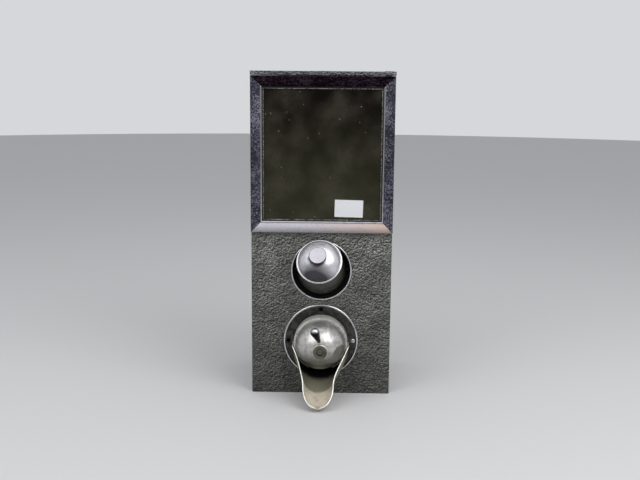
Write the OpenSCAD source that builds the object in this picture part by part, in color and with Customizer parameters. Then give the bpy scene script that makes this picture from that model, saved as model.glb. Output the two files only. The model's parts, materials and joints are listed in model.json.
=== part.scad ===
// Gumball machine with a sheet steel cabinet, a framed window, a press-down
// knob that turns the dispensing drum, and a turning dome over an open spout.
// Millimetres, +Z up, front towards -Y, origin under the centre of the cabinet.

/* [Cabinet] */
// Width of the cabinet over its side walls
cabinet_w = 200; // [192:1:220]
// Depth of the cabinet from the front face to the back face
cabinet_d = 160; // [154:1:180]
// Height of the cabinet walls under the lid
cabinet_h = 457; // [445:1:480]
// Thickness of the cabinet sheet
sheet = 1.5; // [1:0.1:2]
// Outer radius of the folded vertical edges
fold_r = 2.5; // [2.2:0.1:4]
// Depth of the turned-back side edges of the front panel
front_return = 8; // [6:0.5:12]
// Width of the flanges that carry the back panel
rear_flange = 12; // [10:0.5:16]
// Height of the turned-up edge of the base plate
base_edge = 12; // [8:1:16]
// Distance of the wall bolt holes from the middle of the back
wall_hole_x = 60; // [50:1:70]
// Height of the lower wall bolt holes
wall_hole_low = 80; // [70:1:90]
// Height of the upper wall bolt holes
wall_hole_high = 400; // [390:1:410]
// Radius of the wall bolt holes
wall_hole_r = 3; // [2.5:0.1:4]

/* [Lid] */
// Height of the lid's lip
lid_lip = 5.5; // [5:0.5:9]
// Overhang of the lid past the front and the side walls
lid_overhang = 1; // [0.5:0.1:2.5]
// Gap between the walls and the lip
lid_gap = 0.5; // [0.3:0.1:1]
// Length of the hinge along the lid
hinge_len = 150; // [100:5:170]
// Radius of the hinge barrel
hinge_r = 2.6; // [2.2:0.1:3.2]
// Radius of the hinge pin
hinge_pin_r = 1.2; // [1:0.1:1.5]

/* [Window] */
// Height of plain panel between the rim of the recess and the window frame
frame_gap = 11.3; // [8:0.1:16]
// Width of each bar of the window frame
frame_bar = 15.5; // [13:0.5:18]
// How far the outer edge of the frame stands in front of the panel
frame_proud = 8; // [6:0.5:10]
// Thickness of the window glass
glass_t = 3; // [2:0.5:4]
// Overlap of the glass behind the panel at each side
glass_lap = 6; // [4:0.5:7]
// Width of the retainer's rim round the glass
retainer_wall = 2.5; // [2:0.1:3]

/* [Lever knob] */
// Height of the lever axis above the base
lever_z = 183; // [178:1:186]
// Distance of the lever axis behind the front face
lever_back = 8; // [7.8:0.1:9.5]
// Radius of the rolled rim of the recess
recess_r = 43; // [42:0.5:46]
// Radius of the ball that closes the recess
ball_r = 35; // [33:0.5:35]
// Radius of the lever shaft and the drum shaft
shaft_r = 4; // [3:0.1:4]
// Distance of the knob's rim from the lever axis
knob_reach = 33; // [32.5:0.5:38]
// Radius of the knob over its rim bead
knob_r = 32.7; // [30:0.1:33]
// Height of the knob's dome above its rim
knob_rise = 22; // [19:0.5:25]
// Thickness of the spun metal of the knob, the ball and the outlet dome
spun_wall = 1.8; // [1.2:0.1:2.2]
// Angle of the knob above the horizontal at rest
knob_tilt = 31.4; // [28:0.2:33]
// Lean of the knob to the left
knob_lean = 5.4; // [0:0.2:8]
// Radius of the boss on the knob
knob_boss_r = 12.2; // [9:0.1:13]
// Travel of the lever in degrees
lever_travel = 60; // [50:5:60]

/* [Drive] */
// Module of the sector gear and the pinion
gear_module = 2.5; // [2.4:0.02:2.5]
// Number of teeth of the pinion
pinion_teeth = 14; // [14:1:14]
// Turns of the drum for one turn of the lever
gear_ratio = 3; // [3:1:3]
// Width of both gears
gear_w = 6; // [4:0.5:7]
// Metal taken off each side of a tooth for backlash
tooth_relief = 0.15; // [0.1:0.01:0.2]
// Angle of the line from the lever axis down to the drum axis
mesh_angle = 22; // [21:0.5:23]

/* [Drum and hopper] */
// Radius of the dispensing drum
drum_r = 24; // [22:0.5:25]
// Width of the dispensing drum
drum_w = 44; // [40:1:46]
// Radius of the pocket that takes one gumball
pocket_r = 11.5; // [9:0.5:12]
// Running gap round the drum
drum_gap = 0.6; // [0.4:0.1:1]
// Wall of the drum housing
housing_wall = 3.4; // [2.5:0.1:4]
// Bore radius of the neck, the outlet and the delivery tube
feed_r = 13.5; // [12.5:0.5:14]
// Thickness of the hopper and shelf sheet
thin_sheet = 1.2; // [1:0.1:1.5]
// Height of the flanges at both ends of the mechanism shelf
shelf_flange = 12; // [8:1:16]
// Height of the neck between the drum housing and the hopper
neck_rise = 20; // [19:1:24]
// Height of the hopper floor's rise from the neck to the walls
funnel_rise = 52; // [48:1:56]

/* [Outlet] */
// Height of the outlet axis above the base
outlet_z = 80; // [79:0.5:82]
// Outer radius of the outlet escutcheon
escutcheon_r = 53.7; // [50:0.1:54.5]
// Outer radius of the outlet collar
collar_r = 38.5; // [37.6:0.1:39.5]
// Wall of the outlet collar
collar_wall = 3.5; // [2.5:0.1:4]
// Distance of the collar's front edge from the front face
collar_reach = 21.7; // [19:0.1:24]
// Outer radius of the outlet dome
dome_r = 36; // [33:0.5:36]
// Depth below the outlet axis at which the dome is cut off flat
dome_cut = 30; // [27:0.5:32]
// Radius of the boss at the centre of the dome
dome_boss_r = 10.8; // [9:0.1:12]
// Radius of the fixed spindle that the dome turns on
spindle_r = 3; // [2.5:0.1:4]
// Length of the pear handle between its two ball centres
handle_len = 24; // [20:1:28]
// Radius of the head of the pear handle
handle_head_r = 6; // [5:0.1:6.5]
// Radius of the foot of the pear handle
handle_foot_r = 2.5; // [2:0.1:3]
// Angle of the handle's foot on the dome, from the outlet axis
handle_seat = 24; // [22:1:28]
// Angle of the handle itself, from the outlet axis
handle_rise = 60; // [55:1:64]
// Lean of the handle to the left
handle_lean = 9; // [0:1:12]

/* [Spout] */
// Distance of the spout tip from the front face
spout_reach = 82; // [78:1:88]
// Height of the spout tip above the base
spout_tip_z = 7.5; // [6:0.5:9]
// Thickness of the spout metal
spout_wall = 1.6; // [1.2:0.1:1.6]
// Half width of the spout where its round nose starts
spout_nose_w = 22; // [18:0.1:23]
// How far the nose of the spout leans to the left
spout_lean = 2.4; // [0:0.1:3]

/* [Cash drawer] */
// Height of the drawer front
drawer_h = 50; // [44:1:54]
// Length of the drawer along the side wall
drawer_l = 103; // [90:1:104]
// Depth of the drawer into the cabinet
drawer_d = 74; // [60:1:76]
// Radius of the lock bodies
lock_r = 9.5; // [8:0.1:10]
// Radius of the turning plugs in the locks
plug_r = 6; // [5:0.1:6.5]

/* [Hidden] */

$fn = 64;
// Radial clearance of a shaft in its bearing
fit = 0.05;
// Clearance between seated pieces and between pieces that pass each other
gap = 0.3;
// Overlap that joins the shapes of one piece, and the reach of a cut past a face
join = 0.2;
past = 1;
// Cabinet faces
front_y = -cabinet_d / 2;
panel_back_y = front_y + sheet;
back_y = cabinet_d / 2;
rear_face_y = back_y - sheet;
wall_x = cabinet_w / 2 - sheet;
inner_rear_y = rear_face_y - sheet;
// Inset that clears the inner radius of a fold at a square corner
fold_inset = 0.3 * (fold_r - sheet) + fit;
// Lid heights
lip_z = cabinet_h + lid_gap;
lid_top = lip_z + lid_lip;
lid_under = lid_top - sheet;
lid_w = cabinet_w + 2 * lid_overhang;
lid_front_y = front_y - lid_overhang;
// Hinge at the back of the lid
hinge_y = back_y + hinge_r + gap;
hinge_z = cabinet_h + 0.5;
leaf_t = 1.2;
knuckles = 5;
knuckle_l = hinge_len / knuckles;
// Window
recess_bead_r = 1.5;
frame_top_z = cabinet_h - 0.2;
frame_bottom_z = lever_z + recess_r + recess_bead_r + frame_gap;
frame_h = frame_top_z - frame_bottom_z;
window_sill = 2.5;
window_w = cabinet_w - 2 * (frame_bar + window_sill);
window_low = frame_bottom_z + frame_bar + window_sill;
window_high = frame_top_z - frame_bar - window_sill;
glass_w = window_w + 2 * glass_lap;
glass_low = window_low - glass_lap;
glass_high = window_high + glass_lap;
glass_back_y = panel_back_y + glass_t;
retainer_back_y = glass_back_y + thin_sheet;
// Lever
lever_y = front_y + lever_back;
rim_bead_r = 1.5;
throat_r = ball_r + 1;
ball_window_r = 16;
stud_r = 4;
stud_top = knob_reach + knob_rise + 2;
stud_collar_r = stud_r + 2;
dome_out_r = knob_r - 2 * rim_bead_r + 0.6;
collar_low = ball_r + 0.02;
collar_high = knob_reach - 0.05
    + (knob_rise - spun_wall) * sqrt(1 - pow(stud_collar_r / (dome_out_r - spun_wall), 2));
bracket_boss_r = shaft_r + 2.2;
bracket_x = recess_r + recess_bead_r + 1;
bracket_w = 6;
gear_x = bracket_x + bracket_w + 1.2;
shaft_end_x = gear_x + gear_w + 1;
// Gears
sector_teeth = pinion_teeth * gear_ratio;
pinion_pitch_r = gear_module * pinion_teeth / 2;
sector_pitch_r = gear_module * sector_teeth / 2;
pressure_angle = 20;
addendum = 0.8 * gear_module;
dedendum = 1.25 * gear_module;
centre_distance = pinion_pitch_r + sector_pitch_r;
drum_y = lever_y + centre_distance * cos(mesh_angle);
drum_z = lever_z - centre_distance * sin(mesh_angle);
tooth_step = 360 / sector_teeth;
teeth_cut = ceil(lever_travel / tooth_step - 0.01) + 2;
// Drum housing
housing_r = drum_r + drum_gap + housing_wall;
housing_w = drum_w + 2 * drum_gap + 2.8;
neck_r = feed_r + 2.5;
neck_top = drum_z + housing_r + neck_rise;
cap_t = 3;
shelf_t = 2;
shelf_top = drum_z - housing_r - 0.8;
shelf_front_y = lever_y + 32;
shelf_rear_y = inner_rear_y - fold_r + sheet - fit;
housing_foot = 18;
outlet_stub = 8;
// Return spring, between an arm on the lever shaft and the shelf
arm_w = 5;
arm_x = -gear_x - arm_w;
arm_l = 30;
arm_angle = -30;
spring_pin_r = 2;
spring_x = arm_x - 2;
spring_y = lever_y + arm_l * cos(arm_angle);
spring_high = lever_z + arm_l * sin(arm_angle);
spring_low = shelf_top + 6;
spring_coil_r = 4.5;
spring_wire_r = 0.8;
spring_turns = 11;
spring_eye_r = spring_pin_r + 0.35 + spring_wire_r;
// Hopper
hopper_x = window_w / 2 + 3.5;
hopper_front = retainer_back_y + 2.5;
hopper_rear = inner_rear_y - 7;
hopper_top = glass_high - 5;
floor_z = neck_top + thin_sheet;
funnel_z = floor_z + funnel_rise;
// Outlet
collar_bore_r = collar_r - collar_wall;
escutcheon_t = 2;
bead_r = 1.3;
screw_circle_r = 46.5;
screw_head_r = 3.4;
screw_head_h = 1.8;
screw_shank_r = 1.5;
screw_l = 6;
collar_back_t = 2;
collar_rear_y = panel_back_y + collar_back_t;
dome_out = collar_reach + gap;
dome_flat = dome_out + dome_r - 1.7;
boss_t = 3.3;
mouth_w = 17;
spindle_bar_out = 12;
spindle_bar_w = 8;
spindle_bar_t = 4;
spindle_short = 6;
tube_wall = 1.5;
tube_low_z = outlet_z - 14;
elbow_z = outlet_z + 15;
tube_bend_r = 18;
// Spout; its rim runs straight out over the collar and then straight down to the tip
spout_top = outlet_z - 2;
spout_knee = collar_reach + 0.5;
spout_fall = norm([spout_reach - spout_knee, spout_top - spout_tip_z]);
spout_side_w = collar_r + 0.7 + spout_wall;
spout_floor_back = spout_top - spout_side_w + 2;
spout_floor_tip = spout_tip_z - 2.5;
spout_waist_s = 44;
spout_nose_s = 58;
// Cash drawer
drawer_y = front_y + 10;
drawer_low = 3.4;
face_gap = 0.4;
coin_r = 11.6;
coin_x = wall_x - 7;
channel_in = 4.5;
channel_front = hopper_front - 1;
channel_l = 2 * coin_r + 4.8;
strike_gap = 0.8;
lock_depth = 15;
cam_t = 1.5;
cam_l = 17.5;
lock_y = front_y + 26;
drawer_lock_y = drawer_y + drawer_l / 2;
drawer_lock_z = drawer_low + drawer_h / 2 + 4;
drawer_cam_l = 27;
lid_cam_top = lid_top - lock_depth;
channel_mid = channel_front + channel_l / 2;
channel_low = drawer_low + drawer_h + 12;

// ---- shared shapes ----

// A cylinder along X from x0 to x1
module rod_x(x0, x1, r) {
    translate([x0, 0, 0]) rotate([0, 90, 0]) cylinder(h = x1 - x0, r = r);
}

// A box given by its two corners
module block(low, high) {
    translate(low) cube(high - low);
}

// Puts a shape on the front face at height z, with its own +Z pointing out
module on_front(z) {
    translate([0, front_y, z]) rotate([90, 0, 0]) children();
}

// Puts a shape at the lever axis, with its own +Z along the knob's axis
module on_knob_axis() {
    translate([0, lever_y, lever_z]) rotate([0, 0, -knob_lean])
        rotate([-knob_tilt, 0, 0]) rotate([90, 0, 0]) children();
}

// Plan of a box with two rounded edges at its low-Y side
module rounded_plan(w, d, r) {
    translate([-w / 2, r]) square([w, d - r]);
    translate([-w / 2 + r, 0]) square([w - 2 * r, r + join]);
    for (side = [-1, 1]) translate([side * (w / 2 - r), r]) circle(r);
}

// Plan of a folded sheet with two rounded edges at its low-Y side
module folded_plan(w, d, r, t) {
    difference() {
        rounded_plan(w, d, r);
        translate([0, t]) rounded_plan(w - 2 * t, d - t + past, r - t);
    }
}

// A slotted pan-head screw, head up, seated at z = 0
module pan_screw(head_r, head_h, shank_r, shank_l) {
    slot_w = 0.9;
    difference() {
        union() {
            rotate_extrude() polygon(concat([[0, 0], [head_r, 0]],
                [for (a = [0:15:90]) [head_r * cos(a), head_h * (0.4 + 0.6 * sin(a))]]));
            translate([0, 0, -shank_l]) cylinder(h = shank_l + join, r = shank_r);
        }
        translate([-head_r, -slot_w / 2, head_h - 0.8]) cube([2 * head_r, slot_w, past + 1]);
    }
}

// A ring of points round a centre, in the plane of two unit vectors
function ring(centre, u, v, r, sides) = [for (k = [0:sides - 1])
    centre + r * (cos(360 * k / sides) * u + sin(360 * k / sides) * v)];

// A solid through rings that each turn right-handed against the way they advance
module sweep(rings) {
    n = len(rings[0]);
    last = len(rings) - 1;
    walls = [for (i = [0:last - 1], k = [0:n - 1]) let (m = (k + 1) % n)
        [i * n + m, (i + 1) * n + m, (i + 1) * n + k, i * n + k]];
    ends = [[for (k = [0:n - 1]) k], [for (k = [n - 1:-1:0]) last * n + k]];
    polyhedron([for (points = rings) for (p = points) p], concat(walls, ends), convexity = 10);
}

// Profile of half an ellipse shell, rim at z = 0
function cap_curve(r, h, steps) = [for (i = [0:steps]) [r * cos(90 * i / steps), h * sin(90 * i / steps)]];
function reversed(list) = [for (i = [len(list) - 1:-1:0]) list[i]];

// ---- cabinet ----

module front_panel() {
    color("DimGray") difference() {
        translate([0, front_y, 0]) linear_extrude(cabinet_h)
            folded_plan(cabinet_w, front_return, fold_r, sheet);
        block([-window_w / 2, front_y - past, window_low],
            [window_w / 2, panel_back_y + past, window_high]);
        on_front(lever_z) translate([0, 0, -sheet - past])
            cylinder(h = sheet + 2 * past, r = recess_r - 0.6);
        on_front(outlet_z) translate([0, 0, -sheet - past]) {
            cylinder(h = sheet + 2 * past, r = collar_r + 0.2);
            screw_places() cylinder(h = sheet + 2 * past, r = 1.6);
        }
    }
}

module screw_places() {
    for (a = [0, 90, 180]) rotate([0, 0, a]) translate([screw_circle_r, 0, 0]) children();
}

// One side wall with its folded rear flange; side is 1 for right and -1 for left
module side_wall(side) {
    reach = cabinet_d - front_return - sheet;
    linear_extrude(cabinet_h) intersection() {
        translate([0, rear_face_y]) mirror([0, 1]) folded_plan(cabinet_w, reach, fold_r, sheet);
        translate([side > 0 ? wall_x - rear_flange : -cabinet_w, front_y])
            square([cabinet_w - wall_x + rear_flange, cabinet_d]);
    }
}

module left_wall() {
    color("DimGray") difference() {
        side_wall(-1);
        back_screw_places() cylinder(h = 12, r = 1.6, center = true);
    }
}

module right_wall() {
    color("DimGray") difference() {
        side_wall(1);
        back_screw_places() cylinder(h = 12, r = 1.6, center = true);
        drawer_passage(0);
    }
}

// The opening for the drawer front, grown by a margin
module drawer_passage(margin) {
    block([wall_x - 3, drawer_y - margin, drawer_low - face_gap - margin],
        [cabinet_w / 2 + past, drawer_y + drawer_l + margin, drawer_low + drawer_h + face_gap + margin]);
}

// Six places on the back, each with +Z pointing out of the back face
module back_screw_places() {
    for (side = [-1, 1], z = [base_edge + 6, cabinet_h / 2, cabinet_h - 26])
        translate([side * (wall_x - rear_flange / 2), back_y, z]) rotate([-90, 0, 0]) children();
}

module back_panel() {
    color("DimGray") difference() {
        block([-cabinet_w / 2 + 0.5, rear_face_y, 0.5], [cabinet_w / 2 - 0.5, back_y, cabinet_h - 0.5]);
        back_screw_places() cylinder(h = 12, r = 1.6, center = true);
        for (side = [-1, 1], z = [wall_hole_low, wall_hole_high])
            translate([side * wall_hole_x, back_y + past, z]) rotate([90, 0, 0])
                cylinder(h = sheet + 2 * past, r = wall_hole_r);
    }
}

module back_screws() {
    color("Silver") back_screw_places() pan_screw(screw_head_r, screw_head_h, screw_shank_r, screw_l);
}

module base_plate() {
    edge_x = wall_x - fold_inset;
    edge_front = panel_back_y + fold_inset;
    edge_rear = inner_rear_y - fold_inset;
    color("DimGray") difference() {
        block([-edge_x, edge_front, 0], [edge_x, edge_rear, base_edge]);
        block([-edge_x + sheet, edge_front + sheet, sheet],
            [edge_x - sheet, edge_rear - sheet, base_edge + past]);
        drawer_passage(0.2);
    }
}

// ---- window ----

// Section of a frame bar: first value from the outer edge, second value out from the panel
frame_section = [[0, 0], [0, frame_proud - 1], [1, frame_proud], [2.6, frame_proud], [frame_bar - 2.4, 1.4],
    [frame_bar - 1.9, 2.4], [frame_bar - 0.7, 2.4], [frame_bar, 1.6], [frame_bar, 0]];

// A frame bar along +X with both ends mitred, its outer edge on y = 0 and its back on z = 0
module frame_member(length) {
    difference() {
        rotate([90, 0, 90]) linear_extrude(length) polygon(frame_section);
        for (end = [0, 1]) translate([end * length, 0, 0]) mirror([end, 0, 0])
            rotate([0, 0, 45]) translate([-frame_bar * 2, 0, -past])
                cube([frame_bar * 4, frame_bar * 2, frame_proud * 2]);
    }
}

module window_frame_bottom() {
    color("Gainsboro") translate([0, front_y, frame_bottom_z]) rotate([90, 0, 0])
        translate([-cabinet_w / 2, 0, 0]) frame_member(cabinet_w);
}

module window_frame_top() {
    color("Gainsboro") translate([0, front_y, frame_top_z]) rotate([90, 0, 0])
        translate([cabinet_w / 2, 0, 0]) rotate([0, 0, 180]) frame_member(cabinet_w);
}

module window_frame_left() {
    color("Gainsboro") translate([-cabinet_w / 2, front_y, frame_top_z]) rotate([90, 0, 0])
        rotate([0, 0, -90]) frame_member(frame_h);
}

module window_frame_right() {
    color("Gainsboro") translate([cabinet_w / 2, front_y, frame_bottom_z]) rotate([90, 0, 0])
        rotate([0, 0, 90]) frame_member(frame_h);
}

module window_glass() {
    color("DarkOliveGreen", 0.5)
        block([-glass_w / 2, panel_back_y, glass_low], [glass_w / 2, glass_back_y, glass_high]);
}

module glass_retainer() {
    out = retainer_wall;
    color("Gray") difference() {
        block([-glass_w / 2 - out, panel_back_y, glass_low - out],
            [glass_w / 2 + out, retainer_back_y, glass_high + out]);
        block([-glass_w / 2 - 0.1, panel_back_y - past, glass_low - 0.1],
            [glass_w / 2 + 0.1, glass_back_y, glass_high + 0.1]);
        block([-window_w / 2 - 1, panel_back_y, window_low - 1],
            [window_w / 2 + 1, retainer_back_y + past, window_high + 1]);
    }
}

// ---- lid ----

module lid() {
    color("DarkGray") difference() {
        translate([0, lid_front_y, lip_z]) linear_extrude(lid_lip)
            rounded_plan(lid_w, cabinet_d + lid_overhang, fold_r);
        translate([0, lid_front_y + sheet, lip_z - past]) linear_extrude(lid_lip - sheet + past)
            rounded_plan(lid_w - 2 * sheet, cabinet_d + lid_overhang - 2 * sheet, fold_r - sheet);
        translate([0, lock_y, lid_under - past]) cylinder(h = sheet + 2 * past, r = lock_r);
        block([coin_x - channel_in / 2, channel_mid - coin_r - 1.5, lid_under - past],
            [coin_x + channel_in / 2, channel_mid + coin_r + 1.5, lid_top + past]);
    }
}

// The knuckles of one leaf, from the first one given on
module knuckle_row(first) {
    for (i = [first:2:knuckles - 1])
        rod_x(-hinge_len / 2 + i * knuckle_l + 0.2, -hinge_len / 2 + (i + 1) * knuckle_l - 0.2, hinge_r);
}

// Clears the other leaf's knuckles, from the first one given on
module knuckle_slots(first) {
    for (i = [first:2:knuckles - 1])
        rod_x(-hinge_len / 2 + i * knuckle_l - 0.2, -hinge_len / 2 + (i + 1) * knuckle_l + 0.2,
            hinge_r + gap);
}

module cabinet_hinge_leaf() {
    color("Silver") difference() {
        union() {
            translate([0, hinge_y, hinge_z]) knuckle_row(0);
            block([-hinge_len / 2 + 0.2, back_y, cabinet_h - 20],
                [hinge_len / 2 - 0.2, back_y + leaf_t, hinge_z]);
        }
        translate([0, hinge_y, hinge_z]) {
            rod_x(-hinge_len / 2 - past, hinge_len / 2 + past, hinge_pin_r + fit);
            knuckle_slots(1);
        }
    }
}

module lid_hinge_leaf() {
    color("Silver") difference() {
        union() {
            translate([0, hinge_y, hinge_z]) knuckle_row(1);
            block([-hinge_len / 2 + 0.2, back_y, hinge_z + gap],
                [hinge_len / 2 - 0.2, back_y + leaf_t, lid_top - 0.4]);
        }
        translate([0, hinge_y, hinge_z]) {
            rod_x(-hinge_len / 2 - past, hinge_len / 2 + past, hinge_pin_r + fit);
            knuckle_slots(0);
        }
    }
}

module hinge_pin() {
    color("Silver") translate([0, hinge_y, hinge_z]) rod_x(-hinge_len / 2, hinge_len / 2, hinge_pin_r);
}

// A lock body along +Z, its face flange on z = 0 and its barrel behind it
module lock_body() {
    difference() {
        union() {
            cylinder(h = 0.5, r = lock_r + 1.5);
            translate([0, 0, -lock_depth + 0.5]) cylinder(h = lock_depth, r = lock_r - 0.05);
        }
        translate([0, 0, -lock_depth - past]) cylinder(h = lock_depth + 3 * past, r = plug_r + fit);
    }
}

// A turning lock plug along +Z with a key slot and a cam pointing along +X
module lock_plug(cam_length) {
    difference() {
        union() {
            translate([0, 0, -lock_depth - cam_t]) cylinder(h = lock_depth + cam_t + 0.5, r = plug_r);
            translate([0, -4, -lock_depth - cam_t]) cube([cam_length, 8, cam_t]);
        }
        translate([-2.8, -0.6, -4]) cube([5.6, 1.2, 6]);
    }
}

module lid_lock_body() {
    color("Silver") translate([0, lock_y, lid_top]) lock_body();
}

module lid_lock_plug() {
    color("Silver") translate([0, lock_y, lid_top]) rotate([0, 0, 180]) lock_plug(cam_l);
}

module lid_strike() {
    leg_y = lock_y - lock_r - 1.5 - front_y;
    color("Gray") {
        block([-12, panel_back_y, lid_cam_top + strike_gap],
            [12, front_y + leg_y, lid_cam_top + strike_gap + sheet]);
        block([-12, panel_back_y, lid_cam_top + strike_gap], [12, panel_back_y + sheet, cabinet_h - 0.5]);
    }
}

module coin_slot_plate() {
    color("Silver") difference() {
        block([coin_x - 6, channel_mid - coin_r - 5, lid_top],
            [coin_x + 6, channel_mid + coin_r + 5, lid_top + 0.7]);
        block([coin_x - 1.5, channel_mid - coin_r - 1, lid_top - past],
            [coin_x + 1.5, channel_mid + coin_r + 1, lid_top + 2]);
    }
}

// ---- inside ----

module coin_channel() {
    half = channel_in / 2;
    tab_l = channel_l / 2 - 2;
    tab_h = 8;
    color("Gray") {
        for (side = [-1, 1]) translate([coin_x + side * (half + thin_sheet / 2), 0, 0])
            block([-thin_sheet / 2, channel_front, channel_low],
                [thin_sheet / 2, channel_front + channel_l, cabinet_h + 1]);
        for (z = [channel_low + 60, cabinet_h - 60])
            block([coin_x + half + thin_sheet - join, channel_front, z],
                [wall_x, channel_front + tab_l, z + tab_h]);
    }
}

// Strips that hold the two plates of the coin channel apart
module channel_spacers() {
    color("Gray") for (y = [channel_front, channel_front + channel_l - thin_sheet])
        block([coin_x - channel_in / 2, y, channel_low],
            [coin_x + channel_in / 2, y + thin_sheet, cabinet_h + 1]);
}

// Slanted part of the hopper, drawn in by a wall
module funnel(wall) {
    hull() {
        block([-neck_r + wall, drum_y - neck_r + wall, floor_z],
            [neck_r - wall, drum_y + neck_r - wall, floor_z + 0.01]);
        block([-hopper_x + wall, hopper_front + wall, funnel_z],
            [hopper_x - wall, hopper_rear - wall, funnel_z + 0.01]);
    }
}

module hopper() {
    t = thin_sheet;
    color("DarkOliveGreen") {
        difference() {
            block([-hopper_x, hopper_front, funnel_z + 0.01], [hopper_x, hopper_rear, hopper_top]);
            block([-hopper_x + t, hopper_front + t, funnel_z - past],
                [hopper_x - t, hopper_rear - t, hopper_top + past]);
            window_notch();
        }
        for (side = [-1, 1], y = [0, 40])
            block([side > 0 ? hopper_x - join : -wall_x, y, hopper_top - 60],
                [side > 0 ? wall_x : -hopper_x + join, y + 20, hopper_top - 60 + t]);
    }
}

module hopper_funnel() {
    t = thin_sheet;
    color("DarkOliveGreen") difference() {
        union() {
            funnel(0);
            block([-neck_r, drum_y - neck_r, floor_z - t], [neck_r, drum_y + neck_r, floor_z + 0.01]);
        }
        funnel(t);
        block([-hopper_x + t, hopper_front + t, funnel_z + 0.005],
            [hopper_x - t, hopper_rear - t, funnel_z + past]);
        translate([0, drum_y, floor_z - t - past]) cylinder(h = 3 * past + t, r = feed_r);
    }
}

// The hopper's front wall is cut away behind the glass
module window_notch() {
    block([-window_w / 2, hopper_front - past, window_low + 1],
        [window_w / 2, hopper_front + thin_sheet + past, hopper_top + past]);
}

module mechanism_shelf() {
    t = shelf_t;
    color("Gray") difference() {
        block([-wall_x, shelf_front_y, shelf_top - shelf_flange], [wall_x, shelf_rear_y, shelf_top]);
        block([-wall_x + t, shelf_front_y - past, shelf_top - shelf_flange - past],
            [wall_x - t, shelf_rear_y + past, shelf_top - t]);
        translate([0, drum_y, shelf_top - t - past]) cylinder(h = t + 2 * past, r = neck_r + 0.2);
    }
}

module drum_housing() {
    inner = drum_r + drum_gap;
    color("Silver") difference() {
        union() {
            translate([0, drum_y, drum_z]) rod_x(-housing_w / 2, housing_w / 2, housing_r);
            translate([0, drum_y, drum_z]) cylinder(h = neck_top - drum_z, r = neck_r);
            translate([0, drum_y, shelf_top - outlet_stub])
                cylinder(h = drum_z - shelf_top + outlet_stub, r = neck_r);
            block([-housing_w / 2, drum_y - housing_foot, shelf_top],
                [housing_w / 2, drum_y + housing_foot, shelf_top + 6]);
        }
        translate([0, drum_y, drum_z]) rod_x(-housing_w / 2 - past, housing_w / 2 + past, inner);
        translate([0, drum_y, shelf_top - outlet_stub - past])
            cylinder(h = neck_top - shelf_top + outlet_stub + 2 * past, r = feed_r);
    }
}

// An end cap of the drum housing with its bearing; side is 1 for right and -1 for left
module drum_cap(side) {
    color("Silver") translate([0, drum_y, drum_z]) mirror([side > 0 ? 0 : 1, 0, 0]) difference() {
        union() {
            rod_x(housing_w / 2, housing_w / 2 + cap_t, housing_r);
            rod_x(housing_w / 2, housing_w / 2 + cap_t + 5, shaft_r + 4);
        }
        rod_x(housing_w / 2 - past, housing_w / 2 + cap_t + 5 + past, shaft_r + fit);
    }
}

module drum_cap_left() {
    drum_cap(-1);
}

module drum_cap_right() {
    drum_cap(1);
}

module drum() {
    color("Ivory") translate([0, drum_y, drum_z]) difference() {
        rod_x(-drum_w / 2, drum_w / 2, drum_r);
        rod_x(-drum_w, drum_w, shaft_r + 0.01);
        translate([0, 0, shaft_r + 0.6]) cylinder(h = drum_r, r = pocket_r);
    }
}

module drum_shaft() {
    color("Silver") translate([0, drum_y, drum_z]) rod_x(-housing_w / 2 - cap_t - 8, shaft_end_x, shaft_r);
}

module delivery_tube() {
    top = shelf_top - shelf_t - gap;
    socket = outlet_stub - shelf_t + 2;
    color("Gray") difference() {
        union() {
            translate([0, drum_y, top - socket - 2]) cylinder(h = socket + 2, r = neck_r + 0.2 + tube_wall);
            tube_run(feed_r + tube_wall, top - socket - 1);
        }
        translate([0, drum_y, top - socket]) cylinder(h = socket + past, r = neck_r + 0.2);
        tube_run(feed_r, top);
        block([-neck_r * 2, front_y - 50, 0], [neck_r * 2, collar_rear_y, outlet_z + 60]);
    }
}

// The bent path of the delivery tube from height top, as a solid of radius r
module tube_run(r, top) {
    bend = 90 - atan2(elbow_z - tube_low_z, drum_y - collar_rear_y);
    bend_start = elbow_z + tube_bend_r * tan(bend / 2);
    function on_bend(a) = [0, drum_y - tube_bend_r * (1 - cos(a)), bend_start - tube_bend_r * sin(a)];
    function bend_ring(centre, a) = ring(centre, [1, 0, 0], [0, cos(a), -sin(a)], r, $fn);
    sweep(concat([bend_ring([0, drum_y, top], 0)],
        [for (i = [0:8]) bend_ring(on_bend(bend * i / 8), bend * i / 8)],
        [bend_ring(on_bend(bend) + 90 * [0, -sin(bend), -cos(bend)], bend)]));
}

// ---- gears ----

// Involute angle at radius r on base radius rb
function involute(r, rb) = sqrt(pow(r / rb, 2) - 1) * 180 / PI - acos(rb / r);
// Half the angle of a tooth at radius r
function tooth_half(r, pitch_r, teeth) = let (rb = pitch_r * cos(pressure_angle))
    90 / teeth - tooth_relief / pitch_r * 180 / PI + involute(pitch_r, rb) - involute(max(r, rb), rb);

// One tooth pointing along +X
module tooth(pitch_r, teeth) {
    root = pitch_r - dedendum - 0.4;
    tip = pitch_r + addendum;
    radii = [for (i = [0:8]) root + (tip - root) * i / 8];
    flank = [for (r = radii) r * [cos(tooth_half(r, pitch_r, teeth)), sin(tooth_half(r, pitch_r, teeth))]];
    polygon(concat(flank, reversed([for (p = flank) [p[0], -p[1]]])));
}

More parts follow.
